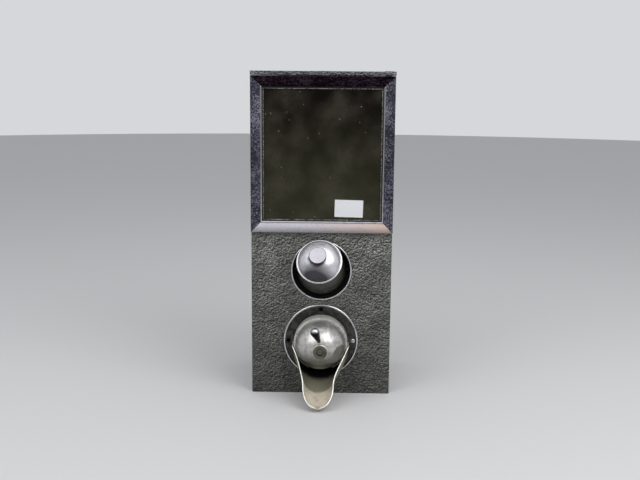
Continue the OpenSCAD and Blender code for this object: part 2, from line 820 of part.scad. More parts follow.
module sector_gear() {
    root = sector_pitch_r - dedendum;
    low = (1.5 - teeth_cut) * tooth_step - 3;
    high = tooth_step / 2 + 3;
    edge = [cos(high), sin(high)];
    end = [cos(low), sin(low)];
    middle = [cos((low + high) / 2), sin((low + high) / 2)];
    color("Goldenrod") translate([gear_x, lever_y, lever_z]) rotate([-mesh_angle, 0, 0])
        rotate([90, 0, 90]) difference() {
            union() {
                linear_extrude(gear_w) difference() {
                    intersection() {
                        circle(root);
                        polygon([[0, 0], 2 * root * edge, 3 * root * middle, 2 * root * end]);
                    }
                    intersection() {
                        difference() {
                            circle(root - 6);
                            circle(bracket_boss_r + 6);
                        }
                        polygon([6 * middle, 6 * middle + 2 * root * [cos(high - 9), sin(high - 9)],
                            3 * root * middle, 6 * middle + 2 * root * [cos(low + 9), sin(low + 9)]]);
                    }
                }
                cylinder(h = gear_w, r = bracket_boss_r);
                for (i = [0:teeth_cut - 1]) rotate([0, 0, (0.5 - i) * tooth_step])
                    linear_extrude(gear_w) tooth(sector_pitch_r, sector_teeth);
            }
            translate([0, 0, -past]) cylinder(h = gear_w + 2 * past, r = shaft_r + 0.01);
        }
}

module drum_pinion() {
    root = pinion_pitch_r - dedendum;
    color("Goldenrod") translate([gear_x, drum_y, drum_z]) rotate([-mesh_angle, 0, 0])
        rotate([90, 0, 90]) difference() {
            union() {
                cylinder(h = gear_w, r = root);
                for (i = [0:pinion_teeth - 1]) rotate([0, 0, 180 + i * 360 / pinion_teeth])
                    linear_extrude(gear_w) tooth(pinion_pitch_r, pinion_teeth);
            }
            translate([0, 0, -past]) cylinder(h = gear_w + 2 * past, r = shaft_r + 0.01);
        }
}

// ---- lever ----

module lever_escutcheon() {
    slope = (recess_r - 1 - throat_r) / lever_back;
    t = 1.1;
    color("Gainsboro") difference() {
        on_front(lever_z) rotate_extrude() {
            polygon([[recess_r - 1, 0.6], [throat_r, -lever_back], [throat_r, -lever_back - 1.5],
                [throat_r + 1, -lever_back - 1.5], [throat_r + 1, -lever_back],
                [recess_r - 1 + t - 1.5 * slope, -sheet - 0.2], [recess_r - 0.8, -sheet - 0.2],
                [recess_r - 0.8, 0], [recess_r + recess_bead_r, 0], [recess_r, 0.8]]);
            intersection() {
                translate([recess_r, 0]) circle(recess_bead_r);
                translate([recess_r - 3, 0]) square([6, 3]);
            }
        }
        translate([0, lever_y, lever_z]) rod_x(-recess_r - 3, recess_r + 3, shaft_r + gap);
    }
}

// A bearing bracket of the lever shaft behind the panel
module lever_bracket(side) {
    color("Gray") mirror([side > 0 ? 0 : 1, 0, 0]) difference() {
        union() {
            block([bracket_x, panel_back_y, lever_z - 18],
                [bracket_x + bracket_w, panel_back_y + 2, lever_z + 18]);
            block([bracket_x, panel_back_y, lever_z - bracket_boss_r],
                [bracket_x + bracket_w, lever_y, lever_z + bracket_boss_r]);
            translate([0, lever_y, lever_z]) rod_x(bracket_x, bracket_x + bracket_w, bracket_boss_r);
        }
        translate([0, lever_y, lever_z])
            rod_x(bracket_x - past, bracket_x + bracket_w + past, shaft_r + fit);
    }
}

module lever_bracket_left() {
    lever_bracket(-1);
}

module lever_bracket_right() {
    lever_bracket(1);
}

module lever_shaft() {
    color("Silver") translate([0, lever_y, lever_z]) rod_x(-shaft_end_x, shaft_end_x, shaft_r);
}

module lever_ball() {
    color("Gray") difference() {
        union() {
            difference() {
                translate([0, lever_y, lever_z]) sphere(ball_r, $fn = 96);
                translate([0, lever_y, lever_z]) sphere(ball_r - spun_wall, $fn = 96);
            }
            translate([0, lever_y, lever_z]) {
                rod_x(-ball_r + 1, -ball_r + 10, shaft_r + 3);
                rod_x(ball_r - 10, ball_r - 1, shaft_r + 3);
            }
        }
        translate([0, lever_y, lever_z]) rod_x(-ball_r - past, ball_r + past, shaft_r + 0.01);
        translate([0, lever_y + ball_r / 2, lever_z]) rotate([-90, 0, 0])
            cylinder(h = ball_r, r = ball_window_r);
        on_knob_axis() cylinder(h = ball_r + past, r = stud_r + 0.01);
    }
}

module knob_stud() {
    color("Silver") on_knob_axis() {
        translate([0, 0, ball_r - 11]) cylinder(h = stud_top - ball_r + 11, r = stud_r);
        translate([0, 0, collar_low]) cylinder(h = collar_high - collar_low, r = stud_collar_r);
    }
}

module knob_nut() {
    color("Silver") on_knob_axis() translate([0, 0, ball_r - spun_wall - 7.2]) difference() {
        cylinder(h = 6, r = 7.5, $fn = 6);
        translate([0, 0, -past]) cylinder(h = 6 + 2 * past, r = stud_r + 0.01);
    }
}

module knob_dome() {
    inner_r = dome_out_r - spun_wall;
    color("Gainsboro") on_knob_axis() translate([0, 0, knob_reach]) difference() {
        rotate_extrude() {
            polygon(concat(cap_curve(dome_out_r, knob_rise, 24),
                reversed(cap_curve(inner_r, knob_rise - spun_wall, 24))));
            translate([knob_r - rim_bead_r, 0]) circle(rim_bead_r, $fn = 32);
        }
        cylinder(h = knob_rise + past, r = stud_r + 0.01);
    }
}

module knob_boss() {
    seat = knob_rise * sqrt(1 - pow(knob_boss_r / dome_out_r, 2));
    face = knob_rise + 3.7;
    color("Gainsboro") on_knob_axis() translate([0, 0, knob_reach]) rotate_extrude() polygon(concat(
        [[stud_r + 0.01, knob_rise + 0.05], [stud_r + 2, knob_rise - 0.3], [knob_boss_r - 1.4, seat + 1],
        [knob_boss_r - 1.4, seat + 1.9], [knob_boss_r, seat + 2.6], [knob_boss_r, face - 1.2]],
        [for (a = [30:30:90]) [knob_boss_r - 1.2 + 1.2 * cos(a), face - 1.2 + 1.2 * sin(a)]],
        [[0, face], [0, face - 1.2], [stud_r + 0.01, face - 1.2]]));
}

module spring_arm() {
    color("Gray") translate([0, lever_y, lever_z]) rotate([arm_angle, 0, 0]) difference() {
        union() {
            rod_x(arm_x, arm_x + arm_w, bracket_boss_r);
            block([arm_x, 0, -4], [arm_x + arm_w, arm_l, 4]);
            translate([0, arm_l, 0]) rod_x(arm_x, arm_x + arm_w, 4);
            translate([0, arm_l, 0]) rod_x(arm_x - 4, arm_x + join, spring_pin_r);
        }
        rod_x(arm_x - past, arm_x + arm_w + past, shaft_r + 0.01);
    }
}

// A wire coiled up the Z axis
module coil(low, high, coil_r, wire_r, turns) {
    steps = 16 * turns;
    sweep([for (i = [0:steps]) let (a = 360 * turns * i / steps)
        ring([coil_r * cos(a), coil_r * sin(a), low + (high - low) * i / steps],
            [cos(a), sin(a), 0], [0, 0, 1], wire_r, 6)]);
}

// An eye of the spring round a pin along X
module spring_eye() {
    rotate([0, 90, 0]) rotate_extrude() translate([spring_eye_r, 0]) circle(spring_wire_r, $fn = 16);
}

module return_spring() {
    eye = spring_eye_r;
    color("Silver") translate([spring_x, spring_y, 0]) {
        coil(spring_low + eye + 3, spring_high - eye - 3, spring_coil_r, spring_wire_r, spring_turns);
        for (end = [0, 1]) {
            z = end == 0 ? spring_low + eye : spring_high - eye;
            translate([0, 0, end == 0 ? spring_low : spring_high]) spring_eye();
            translate([0, 0, end == 0 ? z - 0.2 : z - 3]) cylinder(h = 3.2, r = spring_wire_r, $fn = 16);
            translate([0, 0, end == 0 ? z + 3 : z - 3])
                rod_x(-spring_wire_r, spring_coil_r + spring_wire_r, spring_wire_r);
        }
    }
}

module spring_anchor() {
    plate_x = spring_x + 2;
    color("Gray") {
        block([plate_x - 12, shelf_front_y, shelf_top],
            [plate_x + 5, shelf_front_y + 14, shelf_top + sheet]);
        block([plate_x + 1, spring_y - 4, shelf_top], [plate_x + 3, shelf_front_y + 14, shelf_top + 10]);
        translate([0, spring_y, spring_low]) rod_x(plate_x - 4, plate_x + 1 + join, spring_pin_r);
    }
}

// ---- outlet ----

module outlet_escutcheon() {
    color("Gray") on_front(outlet_z) difference() {
        rotate_extrude() {
            translate([collar_r + gap, 0]) square([escutcheon_r - bead_r - collar_r - gap, escutcheon_t]);
            intersection() {
                translate([escutcheon_r - bead_r, 1.2]) circle(bead_r, $fn = 32);
                translate([escutcheon_r - 3, 0]) square([4, 4]);
            }
        }
        translate([0, 0, -past]) screw_places() cylinder(h = escutcheon_t + 2 * past, r = 1.6);
    }
}

module escutcheon_screws() {
    color("Silver") on_front(outlet_z) translate([0, 0, escutcheon_t]) screw_places() rotate([0, 0, 35])
        pan_screw(screw_head_r - 0.3, screw_head_h - 0.2, screw_shank_r, screw_l);
}

module outlet_collar() {
    color("Gainsboro") on_front(outlet_z) difference() {
        union() {
            translate([0, 0, -sheet - collar_back_t]) cylinder(h = collar_back_t, r = collar_r + 5);
            translate([0, 0, -sheet - join]) cylinder(h = collar_reach + sheet + join, r = collar_r);
        }
        translate([0, 0, -sheet]) cylinder(h = collar_reach + sheet + past, r = collar_bore_r);
        translate([0, tube_low_z - outlet_z, -sheet - collar_back_t - past])
            cylinder(h = collar_back_t + 2 * past, r = feed_r + 1);
        translate([-mouth_w, -collar_r - past, escutcheon_t + 1])
            cube([2 * mouth_w, collar_r, collar_reach]);
    }
}

module dome_spindle() {
    color("Silver") on_front(outlet_z) {
        translate([-collar_bore_r + 0.6, -spindle_bar_w / 2, spindle_bar_out])
            cube([2 * collar_bore_r - 1.2, spindle_bar_w, spindle_bar_t]);
        translate([0, 0, spindle_bar_out])
            cylinder(h = dome_flat - spindle_bar_out - spindle_short, r = spindle_r);
    }
}

module outlet_dome() {
    color("Gainsboro") on_front(outlet_z) difference() {
        union() {
            difference() {
                translate([0, 0, dome_out]) sphere(dome_r, $fn = 96);
                translate([0, 0, dome_out]) sphere(dome_r - spun_wall, $fn = 96);
            }
            translate([0, 0, dome_flat - 18]) cylinder(h = 17.5, r = spindle_r + 4);
        }
        translate([-dome_r - past, -dome_r - past, dome_out - dome_r - past])
            cube([2 * dome_r + 2 * past, 2 * dome_r + 2 * past, dome_r + past]);
        translate([-dome_r, -dome_r - past, dome_out - past])
            cube([2 * dome_r, dome_r + past - dome_cut, dome_r]);
        translate([-dome_r, -dome_r, dome_flat]) cube([2 * dome_r, 2 * dome_r, dome_r]);
        translate([0, 0, dome_out]) cylinder(h = dome_r + past, r = spindle_r + fit);
        on_handle_seat() translate([0, 0, -4]) cylinder(h = 8, r = 1.6);
    }
}

// The spot on the dome where the handle stands, with +Z along the dome's normal
module on_handle_seat() {
    translate([0, 0, dome_out]) rotate([-handle_seat, 0, 0]) translate([0, 0, dome_r]) children();
}

module dome_boss() {
    color("Gainsboro") on_front(outlet_z) translate([0, 0, dome_flat]) difference() {
        rotate_extrude() polygon(concat([[0, 0], [dome_boss_r, 0], [dome_boss_r, boss_t - 1.5]],
            [for (a = [30:30:90]) [dome_boss_r - 1.5 + 1.5 * cos(a), boss_t - 1.5 + 1.5 * sin(a)]],
            [[0, boss_t]]));
        translate([0, 0, -past]) cylinder(h = boss_t + 2 * past, r = 5.2);
    }
}

module dome_screw() {
    color("Silver") on_front(outlet_z) translate([0, 0, dome_flat + gap])
        pan_screw(4.8, 2.6, spindle_r - 0.5, spindle_short + gap - fit);
}

module dome_handle() {
    side_angle = asin((handle_head_r - handle_foot_r) / handle_len);
    foot = [for (a = [-90:15:0]) if (a < -side_angle) handle_foot_r * [cos(a), sin(a)]];
    head = [for (i = [0:10]) let (a = -side_angle + (90 + side_angle) * i / 10)
        [handle_head_r * cos(a), handle_len + handle_head_r * sin(a)]];
    color("Gainsboro") on_front(outlet_z) {
        on_handle_seat() translate([0, 0, -3]) cylinder(h = 3 + handle_foot_r, r = 1.55);
        translate([0, 0, dome_out]) rotate([-handle_seat, 0, 0]) translate([0, 0, dome_r + handle_foot_r])
            rotate([handle_seat - handle_rise, 0, 0]) rotate([0, -handle_lean, 0])
                rotate_extrude() polygon(concat(foot,
                    [handle_foot_r * [cos(side_angle), -sin(side_angle)]], head));
    }
}

// ---- spout ----

// Half width of the rim at a distance along its sloping part
function spout_half(s) = s < spout_nose_s
    ? let (t = bezier_time(s)) spout_nose_w + (1 - t) * (1 - t) * (spout_side_w - spout_nose_w)
    : spout_nose_w * pow(1 - pow(min(1, (s - spout_nose_s) / (spout_fall - spout_nose_s)), 2), 0.55);
function bezier_time(s) = let (a = spout_nose_s - 2 * spout_waist_s, b = 2 * spout_waist_s)
    abs(a) < 0.001 ? s / b : (-b + sqrt(b * b + 4 * a * s)) / (2 * a);
function lean_x(s) = let (u = max(0, min(1, (s - 10) / 40))) -spout_lean * u * u * (3 - 2 * u);
function slope_s(out) = max(0, (out - spout_knee) / (spout_reach - spout_knee)) * spout_fall;
function rim_z(out) = spout_top - slope_s(out) / spout_fall * (spout_top - spout_tip_z);
function floor_line(out) = spout_floor_back
    + (spout_floor_tip - spout_floor_back) * (out - escutcheon_t) / (spout_reach - escutcheon_t);

// A solid trough: its section is the lower half of an ellipse under a flat top
module trough(wall, start, raise) {
    stations = 34;
    arc = 20;
    tip = spout_reach - 1.5 * wall - 0.02;
    outs = [for (i = [0:stations]) start + (tip - start) * (1 - pow(1 - i / stations, 2))];
    sweep([for (out = outs) let (
            mid = lean_x(slope_s(out)),
            half = max(0.3, spout_half(slope_s(out)) - wall),
            top = rim_z(out),
            depth = max(0.6, top - floor_line(out) - wall))
        concat([[mid - half, -out, top + raise], [mid + half, -out, top + raise]],
            [for (k = [0:arc]) [mid + half * cos(180 * k / arc), -out, top - depth * sin(180 * k / arc)]])]);
}

module outlet_spout() {
    color("Beige") translate([0, front_y, 0]) difference() {
        trough(0, escutcheon_t, 0.01);
        trough(spout_wall, escutcheon_t - past, 20);
    }
}

// ---- cash drawer ----

module cash_drawer() {
    t = thin_sheet;
    inner_x = wall_x - drawer_d;
    y0 = drawer_y + 1.4;
    y1 = drawer_y + drawer_l - 1.4;
    color("DimGray") difference() {
        union() {
            difference() {
                block([inner_x, y0, drawer_low], [wall_x + join, y1, drawer_low + drawer_h - 2]);
                block([inner_x + t, y0 + t, drawer_low + t], [wall_x, y1 - t, drawer_low + drawer_h]);
            }
            block([wall_x, drawer_y + face_gap, drawer_low],
                [cabinet_w / 2, drawer_y + drawer_l - face_gap, drawer_low + drawer_h]);
        }
        translate([0, drawer_lock_y, drawer_lock_z]) rod_x(wall_x - past, cabinet_w / 2 + past, lock_r);
    }
}

// Puts a lock on the drawer front, with its own +Z pointing out
module on_drawer() {
    translate([cabinet_w / 2, drawer_lock_y, drawer_lock_z]) rotate([0, 90, 0]) children();
}

module drawer_lock_body() {
    color("Silver") on_drawer() lock_body();
}

module drawer_lock_plug() {
    color("Silver") on_drawer() rotate([0, 0, 90]) lock_plug(drawer_cam_l);
}

module drawer_strike() {
    plate_x = cabinet_w / 2 - lock_depth + strike_gap;
    high = drawer_low + drawer_h + 16;
    low = drawer_low + drawer_h + 2.5;
    color("Gray") {
        block([plate_x, drawer_lock_y - 9, low], [plate_x + sheet, drawer_lock_y + 9, high]);
        block([plate_x, drawer_lock_y - 9, high - sheet], [wall_x, drawer_lock_y + 9, high]);
    }
}

module drawer_guides() {
    color("Gray") for (end = [0, 1])
        translate([0, end == 0 ? drawer_y + 1.1 : drawer_y + drawer_l - 1.1, 0])
        mirror([0, end, 0]) {
            block([wall_x - drawer_d + 2, -sheet, sheet], [wall_x - 4, 8, drawer_low - gap]);
            block([wall_x - drawer_d + 2, -sheet, sheet], [wall_x - 4, 0, 20]);
        }
}

front_panel();
left_wall();
right_wall();
back_panel();
base_plate();
back_screws();
window_frame_top();
window_frame_bottom();
window_frame_left();
window_frame_right();
window_glass();
glass_retainer();
lid();
lid_hinge_leaf();
cabinet_hinge_leaf();
hinge_pin();
lid_lock_body();
lid_lock_plug();
lid_strike();
coin_slot_plate();
coin_channel();
channel_spacers();
hopper();
hopper_funnel();
mechanism_shelf();
drum_housing();
drum_cap_left();
drum_cap_right();
drum();
drum_shaft();
drum_pinion();
delivery_tube();
lever_escutcheon();
lever_bracket_left();
lever_bracket_right();
lever_shaft();
lever_ball();
knob_stud();
knob_nut();
knob_dome();
knob_boss();
sector_gear();
spring_arm();
return_spring();
spring_anchor();
outlet_escutcheon();
escutcheon_screws();
outlet_collar();
dome_spindle();
outlet_dome();
dome_boss();
dome_screw();
dome_handle();
outlet_spout();
cash_drawer();
drawer_lock_body();
drawer_lock_plug();
drawer_strike();
drawer_guides();
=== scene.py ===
"""Looks of a counter gumball machine: finishes, turned and pressed show pieces, and a plain stage."""
import json
import math

import bmesh
import bpy
from mathutils import Matrix, Vector


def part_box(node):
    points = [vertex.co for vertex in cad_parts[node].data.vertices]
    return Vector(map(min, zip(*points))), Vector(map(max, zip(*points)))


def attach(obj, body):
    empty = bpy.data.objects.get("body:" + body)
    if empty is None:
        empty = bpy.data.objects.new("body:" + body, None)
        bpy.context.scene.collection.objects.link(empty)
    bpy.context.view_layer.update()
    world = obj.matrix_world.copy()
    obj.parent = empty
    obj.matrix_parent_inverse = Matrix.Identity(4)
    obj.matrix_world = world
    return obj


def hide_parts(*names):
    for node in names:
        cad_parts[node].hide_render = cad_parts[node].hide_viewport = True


bl_info = {
    "name": "Gumball machine looks",
    "version": (1, 0, 0),
    "blender": (4, 5, 0),
    "location": "View3D > Sidebar > Gumball",
    "description": "Dresses the frame of a gumball machine and lights it",
    "category": "Object",
}

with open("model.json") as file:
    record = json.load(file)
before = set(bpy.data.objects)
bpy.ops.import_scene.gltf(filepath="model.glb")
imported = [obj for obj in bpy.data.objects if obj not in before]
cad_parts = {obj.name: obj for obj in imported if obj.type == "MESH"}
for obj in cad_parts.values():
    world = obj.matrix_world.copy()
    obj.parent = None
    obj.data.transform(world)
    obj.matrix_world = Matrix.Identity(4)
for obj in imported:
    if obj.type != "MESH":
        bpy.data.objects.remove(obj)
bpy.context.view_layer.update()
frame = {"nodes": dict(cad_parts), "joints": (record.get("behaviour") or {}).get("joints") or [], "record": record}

MM = 0.001
JOINTS = {joint["name"]: joint for joint in frame["joints"]}
LEVER = Vector(JOINTS["lever_press"]["pos_m"])
OUTLET = Vector(JOINTS["outlet_dome_turn"]["pos_m"])
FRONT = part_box("front_panel")[0].y
BODIES = {node: body for body, nodes in frame["record"]["behaviour"]["bodies"].items() for node in nodes}


def linear(code):
    """An sRGB hex code as a linear colour."""
    parts = [int(code[i:i + 2], 16) / 255 for i in (1, 3, 5)]
    return tuple(c / 12.92 if c <= 0.04045 else ((c + 0.055) / 1.055) ** 2.4 for c in parts)


# ---- what a user may change ----


def length(title, text, size):
    """A length property; size is in millimetres."""
    return bpy.props.FloatProperty(
        name=title, description=text, default=size * MM, unit="LENGTH", precision=5)


def angle(title, text, degrees):
    """An angle property."""
    return bpy.props.FloatProperty(
        name=title, description=text, default=math.radians(degrees), subtype="ANGLE", unit="ROTATION")


def colour(title, text, code):
    """A colour property."""
    return bpy.props.FloatVectorProperty(
        name=title, description=text, default=linear(code), subtype="COLOR", size=3, min=0, max=1)


class MachineSizes(bpy.types.PropertyGroup):
    """Sizes of the show pieces."""

    sheet_edge: length("Sheet edge", "Rounding of the edges of the folded sheet", 0.35)
    hammer_cell: length("Hammer cell", "Size of the cells of the hammer finish", 2.8)
    # The lip is coloured near black: a painted shadow of the frame along the glass.
    frame_lip: length("Frame lip", "Dark lip between the window frame and the glass", 1.6)
    knob_reach: length("Knob reach", "Distance of the knob's rim from the lever axis", 33)
    knob_dome_r: length("Knob dome", "Radius of the knob's dome at its rim", 30.3)
    knob_rise: length("Knob rise", "Height of the knob's dome above its rim", 22)
    knob_bead_r: length("Knob bead", "Radius of the bead round the knob", 1.5)
    knob_boss_r: length("Knob boss", "Radius of the boss on the knob", 12.2)
    spun_wall: length("Spun wall", "Thickness of the spun metal", 1.8)
    knob_tilt: angle("Knob tilt", "Angle of the knob above the horizontal", 31.4)
    knob_lean: angle("Knob lean", "Lean of the knob to the left", 5.4)
    recess_r: length("Recess", "Radius of the rolled rim round the recess", 43)
    throat_r: length("Throat", "Radius of the recess at its back", 36)
    ring_r: length("Outlet ring", "Outer radius of the ring round the outlet", 53.7)
    collar_r: length("Collar", "Outer radius of the outlet collar", 38.5)
    collar_wall: length("Collar wall", "Wall of the outlet collar", 3.5)
    collar_reach: length("Collar reach", "Distance of the collar's edge from the front face", 21.7)
    knurl_depth: length("Knurl depth", "Depth of the fine ridges round the collar", 0.22)
    knurl_count: bpy.props.IntProperty(
        name="Knurl count", description="Number of ridges round a whole collar", default=150)
    dome_r: length("Outlet dome", "Outer radius of the outlet dome", 36)
    dome_cut: length("Dome cut", "Depth below the axis at which the dome is cut off", 30)
    dome_boss_r: length("Dome boss", "Radius of the boss at the centre of the dome", 10.8)
    handle_length: length("Handle", "Length of the pear handle between its ball centres", 21)
    handle_head_r: length("Handle head", "Radius of the head of the handle", 6.3)
    handle_foot_r: length("Handle foot", "Radius of the foot of the handle", 2.5)
    handle_seat: angle("Handle seat", "Angle of the handle's foot on the dome", 24)
    handle_rise: angle("Handle rise", "Angle of the handle from the outlet axis", 52)
    handle_lean: angle("Handle lean", "Lean of the handle to the left", 9)
    handle_side: angle("Handle side", "Turn of the handle's seat to the left", 6.5)
    label_width: length("Label width", "Width of the blank paper label", 40)
    label_height: length("Label height", "Height of the blank paper label", 24.5)


class MachineColours(bpy.types.PropertyGroup):
    """Colours of the finishes."""

    # The high colours paint light on the upper side of the hammer cells, the low colours shade on their under
    # side; paint_low is also the painted shade towards the ground.
    paint_high: colour("Paint, rubbed", "Upper side of the cells of the hammer finish", "#9b9c95")
    paint_low: colour("Paint, dirty", "Under side of the cells of the hammer finish", "#272826")
    lid_high: colour("Lid, rubbed", "Upper side of the cells on the lid", "#8a8c8c")
    lid_low: colour("Lid, dirty", "Under side of the cells on the lid", "#363838")
    chrome: colour("Chrome", "Chrome plate on the side bars", "#918f9e")
    chrome_worn: colour("Worn chrome", "Chrome plate that has gone dull", "#383741")
    # The top bar's colours paint the dark floor reflected in its sloping face.
    chrome_top_reflection_light: colour("Stained chrome", "Lighter flecks of the stained top bar", "#3a2e3a")
    chrome_top_reflection_dark: colour("Dark chrome", "Chrome plate stained by age", "#130b10")
    # The bottom bar's colour paints the bright room reflected in its sloping face.
    chrome_bottom_reflection: colour("Wiped chrome", "Chrome plate of the bottom bar", "#a29fa6")
    chrome_warm: colour("Warm chrome", "Chrome plate with a blush of copper", "#a8988f")
    nickel: colour("Nickel", "Clean nickel plate", "#cfcfd2")
    nickel_clear: colour("Polished nickel", "Nickel plate polished by hands", "#dedee3")
    nickel_warm: colour("Warm nickel", "Nickel plate with a warm cast", "#c9c8c5")
    nickel_pale: colour("Pale nickel", "Nickel plate with a haze", "#b4b3b9")
    nickel_lilac: colour("Lilac nickel", "Nickel plate with a lilac cast", "#bdbac2")
    nickel_haze: colour("Hazy nickel", "Nickel plate with a grey bloom", "#a8a6a3")
    nickel_olive: colour("Olive nickel", "Nickel plate with an olive cast", "#6c6b60")
    # On the dome this grey is a painted reflection; on the ball it is the ball's own tone.
    nickel_mid_grey: colour("Worn nickel", "Nickel plate rubbed grey", "#74736c")
    nickel_dull: colour("Dull nickel", "Nickel plate that has gone grey", "#45443f")
    nickel_grime: colour("Grimy nickel", "Flat nickel plate under a film of grime", "#353532")
    # nickel_shade is painted shade and dark reflection, on the knob's lower side and under its boss.
    nickel_shade: colour("Shaded nickel", "Nickel plate with a dark lilac stain", "#47464c")
    nickel_soot: colour("Sooty nickel", "Flat nickel plate rubbed a little", "#4b4b47")
    # nickel_dark is the colour of rust pits, and also painted shade in the recess, the gaps beside bright metal,
    # under the handle, in the spout and on the lever shaft.
    nickel_dark: colour("Dark nickel", "Grime in recesses, oil, and pits of rust", "#141413")
    spout_warm: colour("Spout", "Nickel worn to a warm cream", "#cfc6b2")
    # spout_edge is partly a painted highlight along the rolled edge.
    spout_edge: colour("Spout edge", "Rolled edge of the spout, rubbed bright", "#e6e3db")
    spout_pale: colour("Spout, pale", "Cream of the spout where it is thinner", "#bdb3a0")
    # spout_olive is the dome's painted shadow on the trough.
    spout_olive: colour("Spout, stained", "Olive stain where the spout's floor begins", "#838170")
    olive: colour("Olive enamel", "Enamel inside the hopper", "#34371f")
    glass_dust: colour("Glass dust", "Dusty clouds on the old window glass", "#4d4a40")
    glass_specks: colour("Glass specks", "Specks of dust on the old window glass", "#b7a58c")
    # The film colours are partly grime and partly the painted shade of the dim hopper seen through the glass,
    # darker at the top.
    film_low: colour("Film, bottom", "Film of grime at the bottom of the glass", "#3d3d2c")
    film_high: colour("Film, top", "Film of grime at the top of the glass", "#1a1411")
    zinc: colour("Zinc", "Zinc plate on sheet", "#8f9294")
    brass: colour("Brass", "Cut brass", "#a98a4b")
    aluminium: colour("Aluminium", "Turned or cast aluminium", "#b9babb")
    steel: colour("Steel", "Ground steel", "#9c9c9c")
    paper: colour("Paper", "Blank paper label", "#dfe1e4")


def sizes():
    """The sizes that the scene holds."""
    return bpy.context.scene.machine_sizes


def colours():
    """The colours that the scene holds."""
    return bpy.context.scene.machine_colours


# ---- materials ----


def connect(tree, made, inputs):
    """Gives each input of a node its value, or the socket that feeds it."""
    for name, value in inputs.items():
        if isinstance(value, bpy.types.NodeSocket):
            tree.links.new(value, made.inputs[name])
        else:
            made.inputs[name].default_value = value


def node(tree, kind, inputs=None, **settings):
    """Adds a node with its settings; each input is a value or the socket that feeds it."""
    made = tree.nodes.new(kind)
    for name, value in settings.items():
        setattr(made, name, value)
    connect(tree, made, inputs or {})
    return made


def number_math(tree, operation, *values):
    """Arithmetic on numbers; each is a value or a socket."""
    return node(tree, "ShaderNodeMath", dict(enumerate(values)), operation=operation).outputs[0]


def vector_math(tree, operation, first, second):
    """Arithmetic on vectors; a dot product or a distance gives a number."""
    made = node(tree, "ShaderNodeVectorMath", {0: first, 1: second}, operation=operation)
    return made.outputs["Value" if operation in ("DOT_PRODUCT", "DISTANCE") else "Vector"]


def spread(tree, value, first, last, low=0.0, high=1.0):
    """Takes a number between two limits to one between low and high."""
    return node(tree, "ShaderNodeMapRange", {
        "Value": value, "From Min": first, "From Max": last, "To Min": low, "To Max": high}).outputs[0]


def noise(tree, place, size, detail, **more):
    """A noise node with features of a size in metres; its Fac is a number, its Color three of them."""
    return node(tree, "ShaderNodeTexNoise", {"Vector": place, "Scale": 1 / size, "Detail": detail, **more})


def raised(tree, height, strength, depth, invert=False):
    """The normal of a surface that a height raises by up to a depth, or sinks."""
    return node(tree, "ShaderNodeBump", {"Height": height, "Strength": strength, "Distance": depth},
                invert=invert).outputs[0]


def along(tree, place, axis, first, last):
    """Rises from 0 to 1 between two places along an axis."""
    return spread(tree, vector_math(tree, "DOT_PRODUCT", place, axis), first, last)


def near(tree, place, centre, reach, edge):
    """Falls from 1 near a point to 0 at a distance from it, over a soft edge."""
    return spread(tree, vector_math(tree, "DISTANCE", place, centre), reach - edge, reach, 1, 0)


def opaque(rgb):
    """A colour with its alpha, as a socket takes it."""
    return (*rgb, 1.0)


def blend(tree, share, first, second):
    """Mixes two colours; each is a colour or a socket."""
    first, second = (c if isinstance(c, bpy.types.NodeSocket) else opaque(c) for c in (first, second))
    # A mix of colours takes them at its sockets 6 and 7 and gives its result at 2
    return node(tree, "ShaderNodeMix", {0: share, 6: first, 7: second}, data_type="RGBA").outputs[2]


def start_material(name):
    """An empty finish: the material, its tree, its shader and the place on the piece."""
    made = bpy.data.materials.new(name)
    made.use_nodes = True
    tree = made.node_tree
    place = node(tree, "ShaderNodeTexCoord").outputs["Object"]
    return made, tree, tree.nodes["Principled BSDF"], place


def hammered(tree, place, cell):
    """Height of a hammer finish at a place: small wavy cells on a slow swell."""
    sway_size, sway_reach = cell / 0.45, 2.4 * cell
    swell_size, swell_height = cell / 0.4, 1.6
    sway = noise(tree, place, sway_size, 3).outputs["Color"]
    bent = vector_math(tree, "ADD", place, vector_math(tree, "MULTIPLY", sway, (sway_reach,) * 3))
    cells = node(tree, "ShaderNodeTexVoronoi", {"Vector": bent, "Scale": 1 / cell, "Smoothness": 0.6},
                 feature="SMOOTH_F1")
    pool = spread(tree, cells.outputs["Distance"], 0.1, 0.7, 1, 0)
    swell = noise(tree, place, swell_size, 2).outputs["Fac"]
    return number_math(tree, "MULTIPLY_ADD", swell, swell_height, pool)


def hammered_enamel(name, low, high, cell, foot=0.0):
    """Hammer-finish stove enamel: wavy cells with painted relief light, their upper side painted pale as if lit
    from above and their under side painted dark as if shaded.

    foot is the height from which painted shade darkens it towards the ground.
    """
    toward_light = (-0.18 * cell, -0.14 * cell, 0.3 * cell)
    steep = 0.45
    patch_size = 28 * MM
    ground_shade_share = 0.6
    cell_depth = 0.9 * MM
    made, tree, shader, place = start_material(name)
    height = hammered(tree, place, cell)
    above = hammered(tree, vector_math(tree, "ADD", place, toward_light), cell)
    # rubbed is painted relief light: cell sides towards the light are painted pale, the others dark.
    rubbed = spread(tree, number_math(tree, "SUBTRACT", height, above), -steep, steep)
    patch = spread(tree, noise(tree, place, patch_size, 4).outputs["Fac"], 0.35, 0.65, 0.6, 1)
    skin = blend(tree, number_math(tree, "MULTIPLY", rubbed, patch), low, high)
    if foot:
        # Painted shade, darker towards the ground, where light from above falls less.
        ground_shade = number_math(tree, "MULTIPLY", along(tree, place, (0, 0, -1), -foot, 0), ground_shade_share)
        skin = blend(tree, ground_shade, skin, low)
    connect(tree, shader, {
        "Base Color": skin,
        "Normal": raised(tree, height, 1, cell_depth),
        "Roughness": 0.36,
        "Metallic": 0.55,
    })
    return made


